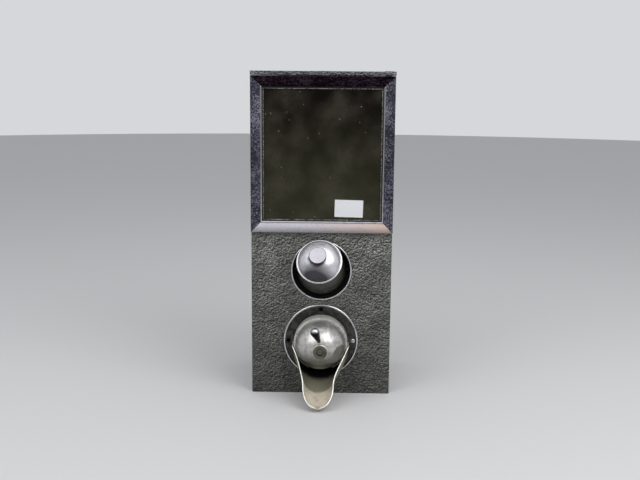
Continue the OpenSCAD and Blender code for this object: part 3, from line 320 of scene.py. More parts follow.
def worn_plate(name, clean, dull, patch, dull_share, pit, roughness, stains_and_shades, ragged, metallic):
    """Plated metal worn by age: cloudy dull patches, pin pricks of rust, and a soft shine between them.

    patch and pit are the sizes of the clouds and pits. Each stain is (colour, axis, first, last) of a colour
    change that grows along an axis, or (colour, point, reach, edge) with a Vector for one that spreads round a
    point; the copper blush is a real discolouring, the others paint shade and reflection. ragged is how far the
    clouds carry its edge.
    """
    bloom_size, bloom_share = patch / 0.12, 0.3
    dull_from = 0.62 - 0.3 * dull_share
    dull_edge = 0.12
    pit_depth = 0.08 * MM
    made, tree, shader, place = start_material(name)
    cloud = noise(tree, place, patch, 6, Roughness=0.65)
    bloom = noise(tree, place, bloom_size, 2).outputs["Fac"]
    mottle = number_math(tree, "MULTIPLY_ADD", bloom, bloom_share, cloud.outputs["Fac"])
    mottle = number_math(tree, "SUBTRACT", mottle, bloom_share / 2)
    skin = blend(tree, spread(tree, mottle, dull_from, dull_from + dull_edge), clean, dull)
    torn = vector_math(tree, "MULTIPLY", cloud.outputs["Color"], (ragged,) * 3)
    moved = vector_math(tree, "ADD", place, torn)
    middle = Vector((ragged, ragged, ragged)) / 2
    for tone, axis, first, last in stains_and_shades:
        if isinstance(axis, Vector):
            share = near(tree, moved, axis + middle, first, last)
        else:
            edge = middle.dot(axis)
            share = along(tree, moved, axis, first + edge, last + edge)
        skin = blend(tree, share, skin, tone)
    pricks = spread(tree, noise(tree, place, pit, 2).outputs["Fac"], 0.64, 0.72, 0, 0.75)
    connect(tree, shader, {
        "Base Color": blend(tree, pricks, skin, colours().nickel_dark),
        "Roughness": spread(tree, cloud.outputs["Fac"], 0.3, 0.7, roughness * 0.75, roughness * 1.4),
        "Normal": raised(tree, pricks, 0.5, pit_depth, invert=True),
        "Metallic": metallic,
    })
    return made


def machined_metal(name, tone, grain, roughness, stretch=(1, 1, 1), relief=0.0, axis=None, depth=0.62):
    """Bare or zinc-plated metal: fine tool marks, which stretch along one axis, and a clouded shine.

    axis makes the marks rings round it instead, as a lathe leaves them; depth is how dark the marks get.
    """
    made, tree, shader, place = start_material(name)
    if axis:
        reach = vector_math(tree, "DOT_PRODUCT", place, axis)
    else:
        reach = node(tree, "ShaderNodeMapping", {"Vector": place, "Scale": stretch}).outputs[0]
    marks = noise(tree, reach, grain, 5).outputs["Fac"]
    dark = [c * depth for c in tone]
    connect(tree, shader, {
        "Base Color": blend(tree, marks, dark, tone),
        "Roughness": spread(tree, marks, 0.3, 0.7, roughness * 0.8, roughness * 1.3),
        "Normal": raised(tree, marks, 0.4, relief),
        "Metallic": 1,
    })
    return made


def old_glass(name, dust, specks, film_low, film_high):
    """Old window glass: a brown-olive film, partly grime and partly the painted shade of the dim hopper behind it,
    darker at the top, with clouds and specks of dust.
    """
    smear_size = 42 * MM
    film_from, film_to = 0.3, 0.42
    speck_gap = 13 * MM
    tint = 0.35
    made, tree, shader, place = start_material(name)
    smear = noise(tree, place, smear_size, 5).outputs["Fac"]
    film = blend(tree, along(tree, place, (0, 0, 1), film_from, film_to), film_low, film_high)
    clouded = blend(tree, spread(tree, smear, 0.4, 0.65, 0, 0.5), film, dust)
    cells = node(tree, "ShaderNodeTexVoronoi", {"Vector": place, "Scale": 1 / speck_gap})
    speck = spread(tree, cells.outputs["Distance"], 0.03, 0.07, 0.9, 0)
    connect(tree, shader, {
        "Base Color": blend(tree, speck, clouded, specks),
        "Transmission Weight": spread(tree, smear, 0.3, 0.7, 0.6, 0.25),
        "Roughness": 0.03,
        "IOR": 1.45,
        "Specular IOR Level": 0.2,
        "Specular Tint": opaque((tint, tint, tint)),
    })
    return made


def plain_enamel(name, tone, roughness):
    """Sprayed enamel on sheet: an orange-peel surface and a little dust in its colour."""
    peel_size, peel_depth = 2 * MM, 0.1 * MM
    dust_size, dust_gain = 45 * MM, 1.5
    made, tree, shader, place = start_material(name)
    peel = noise(tree, place, peel_size, 2).outputs["Fac"]
    dust = noise(tree, place, dust_size, 4).outputs["Fac"]
    pale = [c * dust_gain for c in tone]
    connect(tree, shader, {
        "Base Color": blend(tree, dust, tone, pale),
        "Normal": raised(tree, peel, 0.25, peel_depth),
        "Roughness": roughness,
    })
    return made


def label_paper(name, tone):
    """Coated label paper, a little grey at its fibres."""
    fibre_size, fibre_share = 0.8 * MM, 0.92
    made, tree, shader, place = start_material(name)
    fibre = noise(tree, place, fibre_size, 3).outputs["Fac"]
    grey = [c * fibre_share for c in tone]
    connect(tree, shader, {"Base Color": blend(tree, fibre, grey, tone), "Roughness": 0.5})
    return made


PLATES = {
    # finish: (material, clean colour, dull colour, clouds in mm, share gone dull, pits in mm, roughness,
    # metallic); the comment above each says what it gives the eye
    # Violet-grey chrome that sparkles where it is clean and is freckled dark between
    "frame_chrome": ("worn_chrome", "chrome", "chrome_worn", 2.2, 0.75, 0.7, 0.36, 1),
    # A nearly black bar with purple-brown flecks: a painted dark reflection of the floor, so the window's top edge
    # reads as a shadow
    "frame_dark_reflection": ("stained_chrome", "chrome_top_reflection_light", "chrome_top_reflection_dark", 3, 0.75, 1.1, 0.36, 1),
    # A bar painted lighter as a reflection of the bright room above, with a copper blush that warms it towards the
    # right
    "frame_bright_reflection": ("wiped_chrome", "chrome_bottom_reflection", "chrome_bottom_reflection", 30, 0.3, 1.6, 0.38, 1),
    # Thin white glints that draw the outlines of rims and beads
    "bead_chrome": ("bright_chrome", "nickel", "nickel_pale", 10, 0.3, 1.2, 0.16, 1),
    # A knob, silver above, with a painted dark lilac shade and reflection round its boss and under it
    "knob_nickel": ("handled_nickel", "nickel_clear", "nickel", 12, 0.3, 0.9, 0.3, 0.78),
    # A satin lilac-grey button that stays readable against the bright knob
    "boss_face": ("lilac_nickel", "nickel_lilac", "nickel_pale", 10, 0.2, 1.2, 0.4, 0.6),
    # A silver dome under a slow haze, with a painted grey reflection on its lower half and in a patch at its right
    # side
    "nickel": ("satin_nickel", "nickel_warm", "nickel_haze", 9, 0.45, 0.9, 0.32, 0.85),
    # An olive disc, darker than the dome that it sits on
    "boss_nickel": ("olive_nickel", "nickel_olive", "nickel_dull", 8, 0.3, 0.9, 0.36, 1),
    # A clean bright head over a painted black shade on its underside and foot
    "handle_nickel": ("rubbed_handle_nickel", "nickel", "nickel_pale", 6, 0.3, 0.9, 0.24, 1),
    # A pale matt band whose fine ridges show as even grey lines
    "knurled_nickel": ("knurled_nickel", "nickel_warm", "nickel_haze", 5, 0.5, 0.7, 0.45, 0.45),
    # A flat sooty ring that sets off the bright bead round it
    "dark_nickel": ("grimy_nickel", "nickel_soot", "nickel_grime", 7, 0.6, 0.9, 0.38, 1),
    # A creamy trough with the dome's painted shadow: olive, then black, on its way under the dome
    "spout_nickel": ("creamy_nickel", "spout_warm", "spout_pale", 7, 0.5, 0.9, 0.45, 0.35),
    # A pale warm line round the spout: its rolled edge, rubbed bright and painted lighter as a highlight
    "spout_edge": ("creamy_rim", "spout_edge", "nickel_warm", 10, 0.3, 1.2, 0.3, 0.7),
    # Silver edges, rubbed by fingers and left out of the painted shade, so they show as a painted highlight: the
    # knob's bead and the dome's cut edge
    "rubbed_rim": ("rubbed_rim", "nickel", "nickel_pale", 10, 0.2, 1.2, 0.22, 1),
    # Small clean plates and plugs that shine out of the paint
    "lock_chrome": ("lock_chrome", "nickel", "nickel_pale", 8, 0.2, 1, 0.18, 1),
}
METALS = {
    # finish: (material, colour, grain in mm, roughness, stretch of the marks, their relief in mm)
    # Plain grey sheet with a cloudy shine
    "zinc_sheet": ("zinc_plated_sheet", "zinc", 6, 0.42, (1, 1, 1), 0.02),
    # Pale sandy metal with hardly a highlight
    "cast_metal": ("sand_cast_aluminium", "aluminium", 0.9, 0.55, (1, 1, 1), 0.15),
    # Bright metal with fine lines round the drum
    "drum_metal": ("turned_aluminium", "aluminium", 1.2, 0.35, (8, 1, 1), 0.02),
    # Golden gears with cutter marks across their faces
    "gear_brass": ("milled_brass", "brass", 1.5, 0.32, (6, 1, 1), 0.02),
    # Smooth grey pins with a narrow highlight
    "shaft_steel": ("ground_steel", "steel", 1.2, 0.28, (10, 1, 1), 0.02),
    # A near-black shaft, painted as the recess's shade so that it is lost in it
    "oiled_steel": ("oiled_steel", "nickel_dark", 1.2, 0.35, (10, 1, 1), 0.02),
    # Grey screw heads, a little brighter than the paint
    "screw_steel": ("plated_screw_steel", "steel", 0.8, 0.33, (1, 1, 1), 0.02),
    # Black screw heads that read as dots on the ring
    "dark_screw": ("blackened_screw_steel", "nickel_dark", 0.8, 0.4, (1, 1, 1), 0.02),
    # Drawn wire with a soft shine along its coils
    "spring_steel": ("drawn_spring_steel", "steel", 0.6, 0.35, (1, 1, 1), 0.02),
    # Bright steel with long rolling marks
    "hinge_steel": ("bright_hinge_steel", "steel", 1.5, 0.36, (0.2, 1, 1), 0.02),
}
FINISHES = {}


def finish_named(name):
    """A finish by the name that the pieces use; all are made when the first is asked for."""
    if not FINISHES:
        make_finishes()
    return FINISHES[name]


def all_stains_and_shades():
    """The stains and the painted shade and reflection of each plate that has any, and how far its clouds carry
    their edges.
    """
    c, s = colours(), sizes()
    right, inward, down = (1, 0, 0), (0, 1, 0), (0, 0, -1)
    knob_shade_centre = on_knob_axis(s.knob_reach) @ Vector((-3 * MM, -s.knob_dome_r, 4 * MM))
    boss_shade_centre = on_knob_axis(s.knob_reach + s.knob_rise) @ Vector((-1 * MM, -2.5 * MM, -2 * MM))
    dome_shade_from = OUTLET.z + 3 * MM
    dome_reflection_centre = OUTLET + Vector((30, -24, -8)) * MM
    handle_shade_from = OUTLET.z + 36 * MM
    return {
        "frame_bright_reflection": ([(c.chrome_warm, right, -0.02, 0.09)], 12 * MM),
        # Painted shade and dark reflection on the knob's lower side, and a painted shade crescent under its boss.
        "knob_nickel": ([(c.nickel_shade, knob_shade_centre, 31 * MM, 15 * MM),
                         (c.nickel_shade, boss_shade_centre, 14.5 * MM, 3.5 * MM)], 5 * MM),
        # Painted grey reflection on the dome's lower half and in a patch at its right side.
        "nickel": ([(c.nickel_mid_grey, down, -dome_shade_from, 16 * MM - dome_shade_from),
                    (c.nickel_mid_grey, dome_reflection_centre, 16 * MM, 3 * MM)], 9 * MM),
        # Painted black shade on the handle's underside, below its head.
        "handle_nickel": ([(c.nickel_dark, down, -handle_shade_from, 5 * MM - handle_shade_from)], 1 * MM),
        # The dome's painted shadow in the trough: olive where it begins, black under the dome.
        "spout_nickel": ([(c.spout_olive, inward, -0.134, -0.131),
                          (c.nickel_dark, inward, -0.112, -0.103)], 12 * MM),
    }


def make_finishes():
    """Makes every finish."""
    c, s = colours(), sizes()
    stains_and_shades = all_stains_and_shades()
    for finish, (name, clean, dull, patch, dull_share, pit, roughness, metallic) in PLATES.items():
        marks, ragged = stains_and_shades.get(finish, ((), 0.0))
        FINISHES[finish] = worn_plate(name, getattr(c, clean), getattr(c, dull), patch * MM, dull_share,
                                      pit * MM, roughness, marks, ragged, metallic)
    for finish, (name, tone, grain, roughness, stretch, relief) in METALS.items():
        FINISHES[finish] = machined_metal(name, getattr(c, tone), grain * MM, roughness, stretch,
                                          relief * MM)
    knob_axis = tuple(on_knob_axis(0).col[2][:3])
    ground_shade_height = 0.25
    FINISHES.update({
        # Charcoal stove enamel, crowded with small dimples whose tops are painted pale as if lit from above, with
        # painted shade darkening it towards the foot
        "hammered_paint": hammered_enamel(
            "hammered_enamel_dark", c.paint_low, c.paint_high, s.hammer_cell, ground_shade_height),
        # The same dimples on the lid, with the same painted relief light, finer and a cooler grey
        "lid_paint": hammered_enamel("hammered_enamel_grey", c.lid_low, c.lid_high, s.hammer_cell * 0.8),
        # A dark ball with faint rings left by the lathe
        "ball_nickel": machined_metal(
            "turned_dark_nickel", c.nickel_mid_grey, grain=2.5 * MM, roughness=0.38, relief=0.12 * MM,
            axis=knob_axis, depth=0.08),
        # Near black with a dull sheen: painted shade for the depth of the recess and the gaps beside bright metal
        "recess": plain_enamel("grimy_recess", c.nickel_dark, roughness=0.45),
        # Dull olive walls, seen when the lid is open
        "hopper_paint": plain_enamel("olive_enamel", c.olive, roughness=0.55),
        # Brown-olive film with the painted shade of the dim hopper behind old glass, darkest at the top, with
        # drifting dust
        "window_glass": old_glass("old_window_glass", c.glass_dust, c.glass_specks, c.film_low, c.film_high),
        # The one clean white patch, blank
        "paper": label_paper("blank_label_paper", c.paper),
    })


# ---- modelling helpers ----


def on_front(height):
    """Local Z points out of the front face at a height, and local Y points up."""
    return Matrix.Translation((0, FRONT, height)) @ Matrix.Rotation(math.pi / 2, 4, "X")


def on_knob_axis(out):
    """Local Z points along the knob's axis, starting at a distance from the lever axis."""
    s = sizes()
    turn = Matrix.Rotation(-s.knob_lean, 4, "Z") @ Matrix.Rotation(math.pi / 2 - s.knob_tilt, 4, "X")
    return Matrix.Translation(LEVER) @ turn @ Matrix.Translation((0, 0, out))


def arc(centre, radius, first, last, steps, rise=None):
    """Points of an arc from one angle to another in degrees; a rise makes it part of an ellipse."""
    points = []
    for i in range(steps + 1):
        a = math.radians(first + (last - first) * i / steps)
        points.append((centre[0] + radius * math.cos(a), centre[1] + (rise or radius) * math.sin(a)))
    return points


def turned(profile, steps=96, closed=True, turn=math.tau):
    """A profile of (radius, height) points turned round the local Z axis."""
    same_place = 1e-6
    shape = bmesh.new()
    corners = [shape.verts.new((radius, 0, height)) for radius, height in profile]
    pairs = list(zip(corners, corners[1:])) + ([(corners[-1], corners[0])] if closed else [])
    edges = [shape.edges.new(pair) for pair in pairs]
    bmesh.ops.spin(shape, geom=corners + edges, cent=(0, 0, 0), axis=(0, 0, 1), angle=turn, steps=steps,
                   use_merge=turn == math.tau)
    bmesh.ops.remove_doubles(shape, verts=shape.verts, dist=same_place)
    bmesh.ops.recalc_face_normals(shape, faces=shape.faces)
    return shape


def only(items, kind):
    """Those of a bmesh's elements that are of a kind."""
    return [item for item in items if isinstance(item, kind)]


def new_object(name, data):
    """An object in the scene that holds some data."""
    made = bpy.data.objects.new(name, data)
    bpy.context.scene.collection.objects.link(made)
    return made


def new_mesh(name, shape, material):
    """A mesh with one material, made from a bmesh and freeing it."""
    mesh = bpy.data.meshes.new(name)
    shape.to_mesh(mesh)
    shape.free()
    mesh.materials.append(material)
    return mesh


def settle(shape, name, node_name, finish, place=None, stands_for=None, crease=38):
    """Makes a bmesh a piece that rides on a node's body, wears a finish and stands for it.

    stands_for lists other nodes to stand for, or none; crease is the angle of a sharp edge in degrees.
    """
    if place is not None:
        shape.transform(place)
    mesh = new_mesh(name, shape, finish_named(finish))
    mesh.shade_smooth()
    mesh.set_sharp_from_angle(angle=math.radians(crease))
    piece = new_object(name, mesh)
    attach(piece, BODIES[node_name])
    if stands_for is None:
        stands_for = [node_name]
    if stands_for:
        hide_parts(*stands_for)
    return piece


def soften(piece, width, limit=34):
    """Rounds the edges of a piece that turn by more than a limit in degrees."""
    bevel = piece.modifiers.new("edges", "BEVEL")
    bevel.width = width
    bevel.segments = 2
    bevel.limit_method = "ANGLE"
    bevel.angle_limit = math.radians(limit)
    bevel.harden_normals = False


def dress(node_name, finish):
    """Gives a node of the frame its finish."""
    piece = frame["nodes"][node_name]
    piece.data.materials.clear()
    piece.data.materials.append(finish_named(finish))


def refined(node_name, finish, width=None):
    """A copy of a node with its triangles joined into faces, and its edges rounded if a width is given."""
    same_place = 2e-6
    flat = math.radians(0.5)
    shape = bmesh.new()
    shape.from_mesh(frame["nodes"][node_name].data)
    bmesh.ops.remove_doubles(shape, verts=shape.verts, dist=same_place)
    bmesh.ops.dissolve_limit(shape, angle_limit=flat, verts=shape.verts, edges=shape.edges)
    piece = settle(shape, node_name + "_finished", node_name, finish)
    if width:
        soften(piece, width)
    return piece


def colour_faces(piece, finish, test):
    """Gives another finish to the faces whose centre passes a test."""
    piece.data.materials.append(finish_named(finish))
    last = len(piece.data.materials) - 1
    for face in piece.data.polygons:
        if test(face.center):
            face.material_index = last


# ---- the pieces ----


class MACHINE_OT_cabinet(bpy.types.Operator):
    """Folded sheet cabinet, lid and drawer in hammer finish"""

    bl_idname = "machine.cabinet"
    bl_label = "Cabinet"

    def execute(self, context):
        for name in ("front_panel", "left_wall", "right_wall", "back_panel", "base_plate", "cash_drawer"):
            refined(name, "hammered_paint", sizes().sheet_edge)
        refined("lid", "lid_paint", sizes().sheet_edge)
        return {"FINISHED"}


FRAME_BARS = {
    # name: (finish, finish of its bead, turn in degrees)
    # The top bar's finish is a painted dark reflection.
    "window_frame_top": ("frame_dark_reflection", "frame_dark_reflection", 180),
    # The bottom bar's finish is a painted bright reflection.
    "window_frame_bottom": ("frame_bright_reflection", "bead_chrome", 0),
    "window_frame_left": ("frame_chrome", "bead_chrome", -90),
    "window_frame_right": ("frame_chrome", "bead_chrome", 90),
}


class MACHINE_OT_window_frame(bpy.types.Operator):
    """Mitred bars round the window, with a bright bead along their inner edge"""

    bl_idname = "machine.window_frame"
    bl_label = "Window frame"

    def execute(self, context):
        for name, (finish, bead_finish, turn) in FRAME_BARS.items():
            self.bar(name, finish, bead_finish, math.radians(turn))
        return {"FINISHED"}

    def bar(self, name, finish, bead_finish, turn):
        """One bar, drawn along the bottom of the window and turned to its side of it."""
        lip = sizes().frame_lip
        low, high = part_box(name)
        level = abs(math.sin(turn)) < 0.5
        run = high.x - low.x if level else high.z - low.z
        bar = high.z - low.z if level else high.x - low.x
        proud = FRONT - low.y
        edge_r = 1.2 * MM
        bead_r = 1.1 * MM
        bead_centre = (bar - 1.2 * MM, 1.4 * MM)
        lip_height = 0.3 * MM
        # Across the bar: its outer wall, rounded edge, sloping face, bead and lip
        section = [(0, 0), (0, proud - edge_r), *arc((edge_r, proud - edge_r), edge_r, 170, 90, 4),
                   (2.6 * MM, proud - 0.1 * MM), (bar - 2.9 * MM, 1.7 * MM), (bar - 2.4 * MM, 1.4 * MM),
                   *arc(bead_centre, bead_r, 170, 0, 8), (bar, lip_height),
                   (bar + lip, lip_height), (bar + lip, 0)]
        shape = bmesh.new()
        start = [shape.verts.new((u, u, h)) for u, h in section]
        face = shape.faces.new(start)
        moved = bmesh.ops.extrude_face_region(shape, geom=[face])["geom"]
        for corner in only(moved, bmesh.types.BMVert):
            corner.co.x = run - corner.co.y
        bmesh.ops.recalc_face_normals(shape, faces=shape.faces)
        middle = Vector(((low.x + high.x) / 2, FRONT, (low.z + high.z) / 2))
        place = (Matrix.Translation(middle) @ Matrix.Rotation(math.pi / 2, 4, "X")
                 @ Matrix.Rotation(turn, 4, "Z") @ Matrix.Translation((-run / 2, -bar / 2, 0)))
        piece = settle(shape, name.replace("window_frame", "frame_bar"), name, finish, place, crease=30)
        soften(piece, 0.25 * MM, 40)
        across = place.inverted()
        bead_from, bead_to = bar - 2.35 * MM, bar - 0.05 * MM
        # The lip takes the near-black recess finish: a painted shadow of the frame along the glass.
        colour_faces(piece, "recess", lambda centre: (across @ centre).y > bead_to)
        colour_faces(piece, bead_finish, lambda centre: bead_from < (across @ centre).y < bead_to)


class MACHINE_OT_window(bpy.types.Operator):
    """Window glass in its retainer"""

    bl_idname = "machine.window"
    bl_label = "Window"

    def execute(self, context):
        dress("window_glass", "window_glass")
        dress("glass_retainer", "zinc_sheet")
        return {"FINISHED"}


class MACHINE_OT_label(bpy.types.Operator):
    """Blank paper label stuck on the glass"""

    bl_idname = "machine.label"
    bl_label = "Blank label"

    def execute(self, context):
        s = sizes()
        thick, corner_r = 0.12 * MM, 0.8 * MM
        place_x, place_z = 38 * MM, 272.5 * MM
        lean = math.radians(-1.2)
        glass_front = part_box("window_glass")[0].y
        shape = bmesh.new()
        bmesh.ops.create_grid(shape, x_segments=1, y_segments=1, size=0.5)
        bmesh.ops.scale(shape, vec=(s.label_width, s.label_height, 1), verts=shape.verts)
        bmesh.ops.bevel(shape, geom=list(shape.verts), offset=corner_r, affect="VERTICES", segments=4,
                        profile=0.5, material=-1)
        top = bmesh.ops.extrude_face_region(shape, geom=list(shape.faces))["geom"]
        bmesh.ops.translate(shape, vec=(0, 0, thick), verts=only(top, bmesh.types.BMVert))
        bmesh.ops.recalc_face_normals(shape, faces=shape.faces)
        place = (Matrix.Translation((place_x, glass_front, place_z)) @ Matrix.Rotation(math.pi / 2, 4, "X")
                 @ Matrix.Rotation(lean, 4, "Z"))
        settle(shape, "blank_label", "window_glass", "paper", place, stands_for=[])
        return {"FINISHED"}


class MACHINE_OT_knob(bpy.types.Operator):
    """Spun knob with a beaded rim and a boss, on its stud and ball"""

    bl_idname = "machine.knob"
    bl_label = "Knob"

    stud_hole = 4.1 * MM

    def execute(self, context):
        s = sizes()
        rim = on_knob_axis(s.knob_reach)
        from_rim = rim.inverted()
        wall, bead, radius, rise = s.spun_wall, s.knob_bead_r, s.knob_dome_r, s.knob_rise
        bead_centre = (radius + bead - 0.6 * MM, 0)
        top = math.degrees(math.acos(self.stud_hole / radius))
        groove = [(radius - 0.55 * MM, 1.1 * MM), (radius - 0.6 * MM, 1.9 * MM)]
        # From the stud's hole down the inside, round the bead, past its groove and up the outside
        profile = [*arc((0, 0), radius - wall, top, 0, 40, rise - wall), (radius - wall, -0.9 * MM),
                   *arc(bead_centre, bead, -130, 128, 18), *groove,
                   *arc((0, 0), radius, 8, top, 48, rise)]
        knob = settle(turned(profile, 128), "spun_knob", "knob_dome", "knob_nickel", rim)
        bead_in = radius - 0.5 * MM
        # The knob's bead takes the lighter rim finish, clear of the painted shade: a painted highlight.
        colour_faces(knob, "rubbed_rim", lambda centre: (from_rim @ centre).xy.length > bead_in
                     and (from_rim @ centre).z < bead)
        button = settle(turned(self.boss(s), closed=False), "knob_button", "knob_boss", "boss_face", rim)
        # The boss's outer edge takes the near-black recess finish: a painted shade ring round the boss.
        shade_ring_from = s.knob_boss_r - 0.8 * MM
        colour_faces(button, "recess", lambda centre: (from_rim @ centre).xy.length > shade_ring_from)
        refined("lever_ball", "ball_nickel")
        for name in ("knob_stud", "knob_nut"):
            dress(name, "shaft_steel")
        dress("lever_shaft", "oiled_steel")
        return {"FINISHED"}

    def boss(self, s):
        """The boss's profile: seated on the dome, necked, flared to its edge, rounded to its flat face."""
        r, rise = s.knob_boss_r, s.knob_rise
        seat = rise * math.sqrt(1 - (r / s.knob_dome_r) ** 2)
        neck = r - 1.4 * MM
        edge_r = 1.3 * MM
        face = rise + 3.7 * MM
        return [(self.stud_hole, rise + 0.05 * MM), (neck, seat + 1.0 * MM), (neck, seat + 1.9 * MM),
                (r - 0.3 * MM, seat + 2.3 * MM), (r, seat + 2.8 * MM),
                *arc((r - edge_r, face - edge_r), edge_r, 0, 90, 10), (0, face)]


class MACHINE_OT_recess(bpy.types.Operator):
    """Rolled rim and dark dish of the recess round the knob"""

    bl_idname = "machine.recess"
    bl_label = "Recess"

    def execute(self, context):
        s = sizes()
        r, throat = s.recess_r, s.throat_r
        back = FRONT - LEVER.y
        rim_r, sheet, lip = 1.4 * MM, 1 * MM, 1.5 * MM
        # Over the rolled rim, down the dish to its throat and short lip, and back under the sheet
        profile = [*arc((r - 0.8 * MM, 0), rim_r, 0, 165, 12), (r - 2.3 * MM, -0.4 * MM),
                   (throat + 2.2 * MM, back * 0.72),
                   (throat, back), (throat, back - lip), (throat + sheet, back - lip),
                   (throat + sheet, back), (r - 1.7 * MM, -1.7 * MM), (r - 1.2 * MM, 0)]
        # The dish wears the near-black recess finish: painted shade of the recess.
        piece = settle(turned(profile, 128), "recess_rim", "lever_escutcheon", "recess", on_front(LEVER.z))
        middle = Vector((0, FRONT, LEVER.z))
        proud, rim_in = FRONT - 0.1 * MM, r - 2.2 * MM
        colour_faces(piece, "bead_chrome",
                     lambda centre: centre.y < proud and (centre - middle).length > rim_in)
        return {"FINISHED"}


class MACHINE_OT_outlet(bpy.types.Operator):
    """Beaded ring, knurled collar and screws of the outlet"""

    bl_idname = "machine.outlet"
    bl_label = "Outlet ring and collar"

    def execute(self, context):
        s = sizes()
        self.ring(s)
        self.collar(s)
        screws = refined("escutcheon_screws", "dark_screw")
        colour_faces(screws, "bead_chrome", lambda centre: centre.x > s.collar_r)
        dress("dome_spindle", "shaft_steel")
        return {"FINISHED"}

    def ring(self, s):
        """The flat ring, with a bead round its outer edge."""
        inner, outer = s.collar_r + 0.3 * MM, s.ring_r
        face, foot = 2 * MM, 1.6 * MM
        bead_r = 1.5 * MM
        bead_centre = (outer - bead_r, 1.2 * MM)
        profile = [(inner, 0), (outer - 0.6 * MM, 0), *arc(bead_centre, bead_r, -50, 150, 14),
                   (outer - 3.1 * MM, foot), (outer - 3.8 * MM, face), (inner + 0.5 * MM, face),
                   (inner, foot)]
        piece = settle(turned(profile, 144), "beaded_ring", "outlet_escutcheon", "dark_nickel",
                       on_front(OUTLET.z))
        middle = Vector((0, FRONT, OUTLET.z))
        bead_in = outer - 2.9 * MM
        colour_faces(piece, "bead_chrome", lambda centre: (centre - middle).length > bead_in)

    def collar(self, s):
        """The collar's flange inside the cabinet, and its knurled band, open below for the spout."""
        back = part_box("outlet_collar")[1].y - FRONT
        r, inner, reach = s.collar_r, s.collar_r - s.collar_wall, s.collar_reach
        mouth = math.asin(17 * MM / r)
        flange_in, flange_out, flange_t = 14.5 * MM, r + 5 * MM, 2 * MM
        flange = turned([(flange_in, -back), (flange_out, -back), (flange_out, flange_t - back),
                         (flange_in, flange_t - back)])
        settle(flange, "collar_flange", "outlet_collar", "nickel", on_front(OUTLET.z), stands_for=[])
        edge_r = 0.8 * MM
        foot = -1.5 * MM
        groove = r - 0.5 * MM
        profile = [(inner, foot), (r, foot), (r, 6 * MM), (r, 12 * MM), (r, reach - 4 * MM),
                   (groove, reach - 3.6 * MM), (groove, reach - 2.6 * MM), (r, reach - 2.2 * MM),
                   *arc((r - edge_r, reach - edge_r), edge_r, 0, 90, 4),
                   *arc((inner + edge_r, reach - edge_r), edge_r, 90, 180, 4)]
        band = turned(profile, 4 * s.knurl_count, turn=math.tau - 2 * mouth)
        bmesh.ops.holes_fill(band, edges=[edge for edge in band.edges if edge.is_boundary])
        knurl_from, knurl_to, skin = 2 * MM, reach - 3.8 * MM, r - 0.1 * MM
        for v in band.verts:
            if knurl_from < v.co.z < knurl_to and math.hypot(v.co.x, v.co.y) > skin:
                around = math.atan2(v.co.y, v.co.x)
                v.co.xy *= 1 - s.knurl_depth * (0.5 - 0.5 * math.cos(around * s.knurl_count)) / r
        bmesh.ops.rotate(band, cent=(0, 0, 0), matrix=Matrix.Rotation(mouth - math.pi / 2, 3, "Z"),
                         verts=band.verts)
        bmesh.ops.recalc_face_normals(band, faces=band.faces)
        settle(band, "knurled_collar", "outlet_collar", "knurled_nickel", on_front(OUTLET.z), crease=50)


class MACHINE_OT_dome(bpy.types.Operator):
    """Spun outlet dome with its boss, screw and pear handle"""

    bl_idname = "machine.dome"
    bl_label = "Outlet dome"

    def execute(self, context):
        s = sizes()
        out = s.collar_reach + 0.3 * MM
        r, wall = s.dome_r, s.spun_wall
        flat = out + r - 1.7 * MM
        bore, hub, hub_end = 3.05 * MM, 7 * MM, flat - 18 * MM
        outer_top = math.degrees(math.asin((flat - out) / r))
        inner_top = math.degrees(math.acos(hub / (r - wall)))
        # Up the outside to the flat, down the spindle's bore, and from the hub down the inside
        profile = [*arc((0, out), r, 0, outer_top, 48), (bore, flat), (bore, hub_end),
                   (hub, hub_end), *arc((0, out), r - wall, inner_top, 0, 48)]
        dome = turned(profile, 128)
        cut = bmesh.ops.bisect_plane(dome, geom=[*dome.verts, *dome.edges, *dome.faces],
                                     plane_co=(0, -s.dome_cut, 0), plane_no=(0, -1, 0), clear_outer=True)
        bmesh.ops.edgeloop_fill(dome, edges=only(cut["geom_cut"], bmesh.types.BMEdge))
        piece = settle(dome, "spun_dome", "outlet_dome", "nickel", on_front(OUTLET.z))
        # The dome's cut edge takes the lighter rim finish: a painted highlight band.
        rim_highlight_to = OUTLET.z - s.dome_cut + 4 * MM
        colour_faces(piece, "rubbed_rim", lambda centre: centre.z < rim_highlight_to)
        screw_hole, boss_r, side = 5.2 * MM, s.dome_boss_r, flat + 1.8 * MM
        edge_r = 1.5 * MM
        boss = [(screw_hole, flat), (boss_r, flat), (boss_r, side),
                *arc((boss_r - edge_r, side), edge_r, 15, 90, 6), (screw_hole, side + edge_r)]
        button = settle(turned(boss), "dome_button", "dome_boss", "boss_nickel", on_front(OUTLET.z))
        from_axis = on_front(OUTLET.z).inverted()
        # The boss's rounded edge takes the lighter dome finish: a painted highlight ring round the olive disc.
        highlight_ring_from = boss_r - 1.3 * MM
        colour_faces(button, "nickel", lambda centre: (from_axis @ centre).xy.length > highlight_ring_from)
        dress("dome_screw", "boss_nickel")
        self.handle(s, out)
        return {"FINISHED"}

    def handle(self, s, out):
        """The pear handle: a small foot ball and a larger head, joined by a cone."""
        head, foot, run = s.handle_head_r, s.handle_foot_r, s.handle_length
        side = math.degrees(math.asin((head - foot) / run))
        profile = [*arc((0, 0), foot, -90, -side, 10), *arc((0, run), head, -side, 90, 28)]
        place = (on_front(OUTLET.z) @ Matrix.Translation((0, 0, out))
                 @ Matrix.Rotation(s.handle_side, 4, "Z") @ Matrix.Rotation(-s.handle_seat, 4, "X")
                 @ Matrix.Translation((0, 0, s.dome_r + foot))
                 @ Matrix.Rotation(s.handle_seat - s.handle_rise, 4, "X")
                 @ Matrix.Rotation(-s.handle_lean, 4, "Y"))
        settle(turned(profile, 64, closed=False), "pear_handle", "dome_handle", "handle_nickel", place)


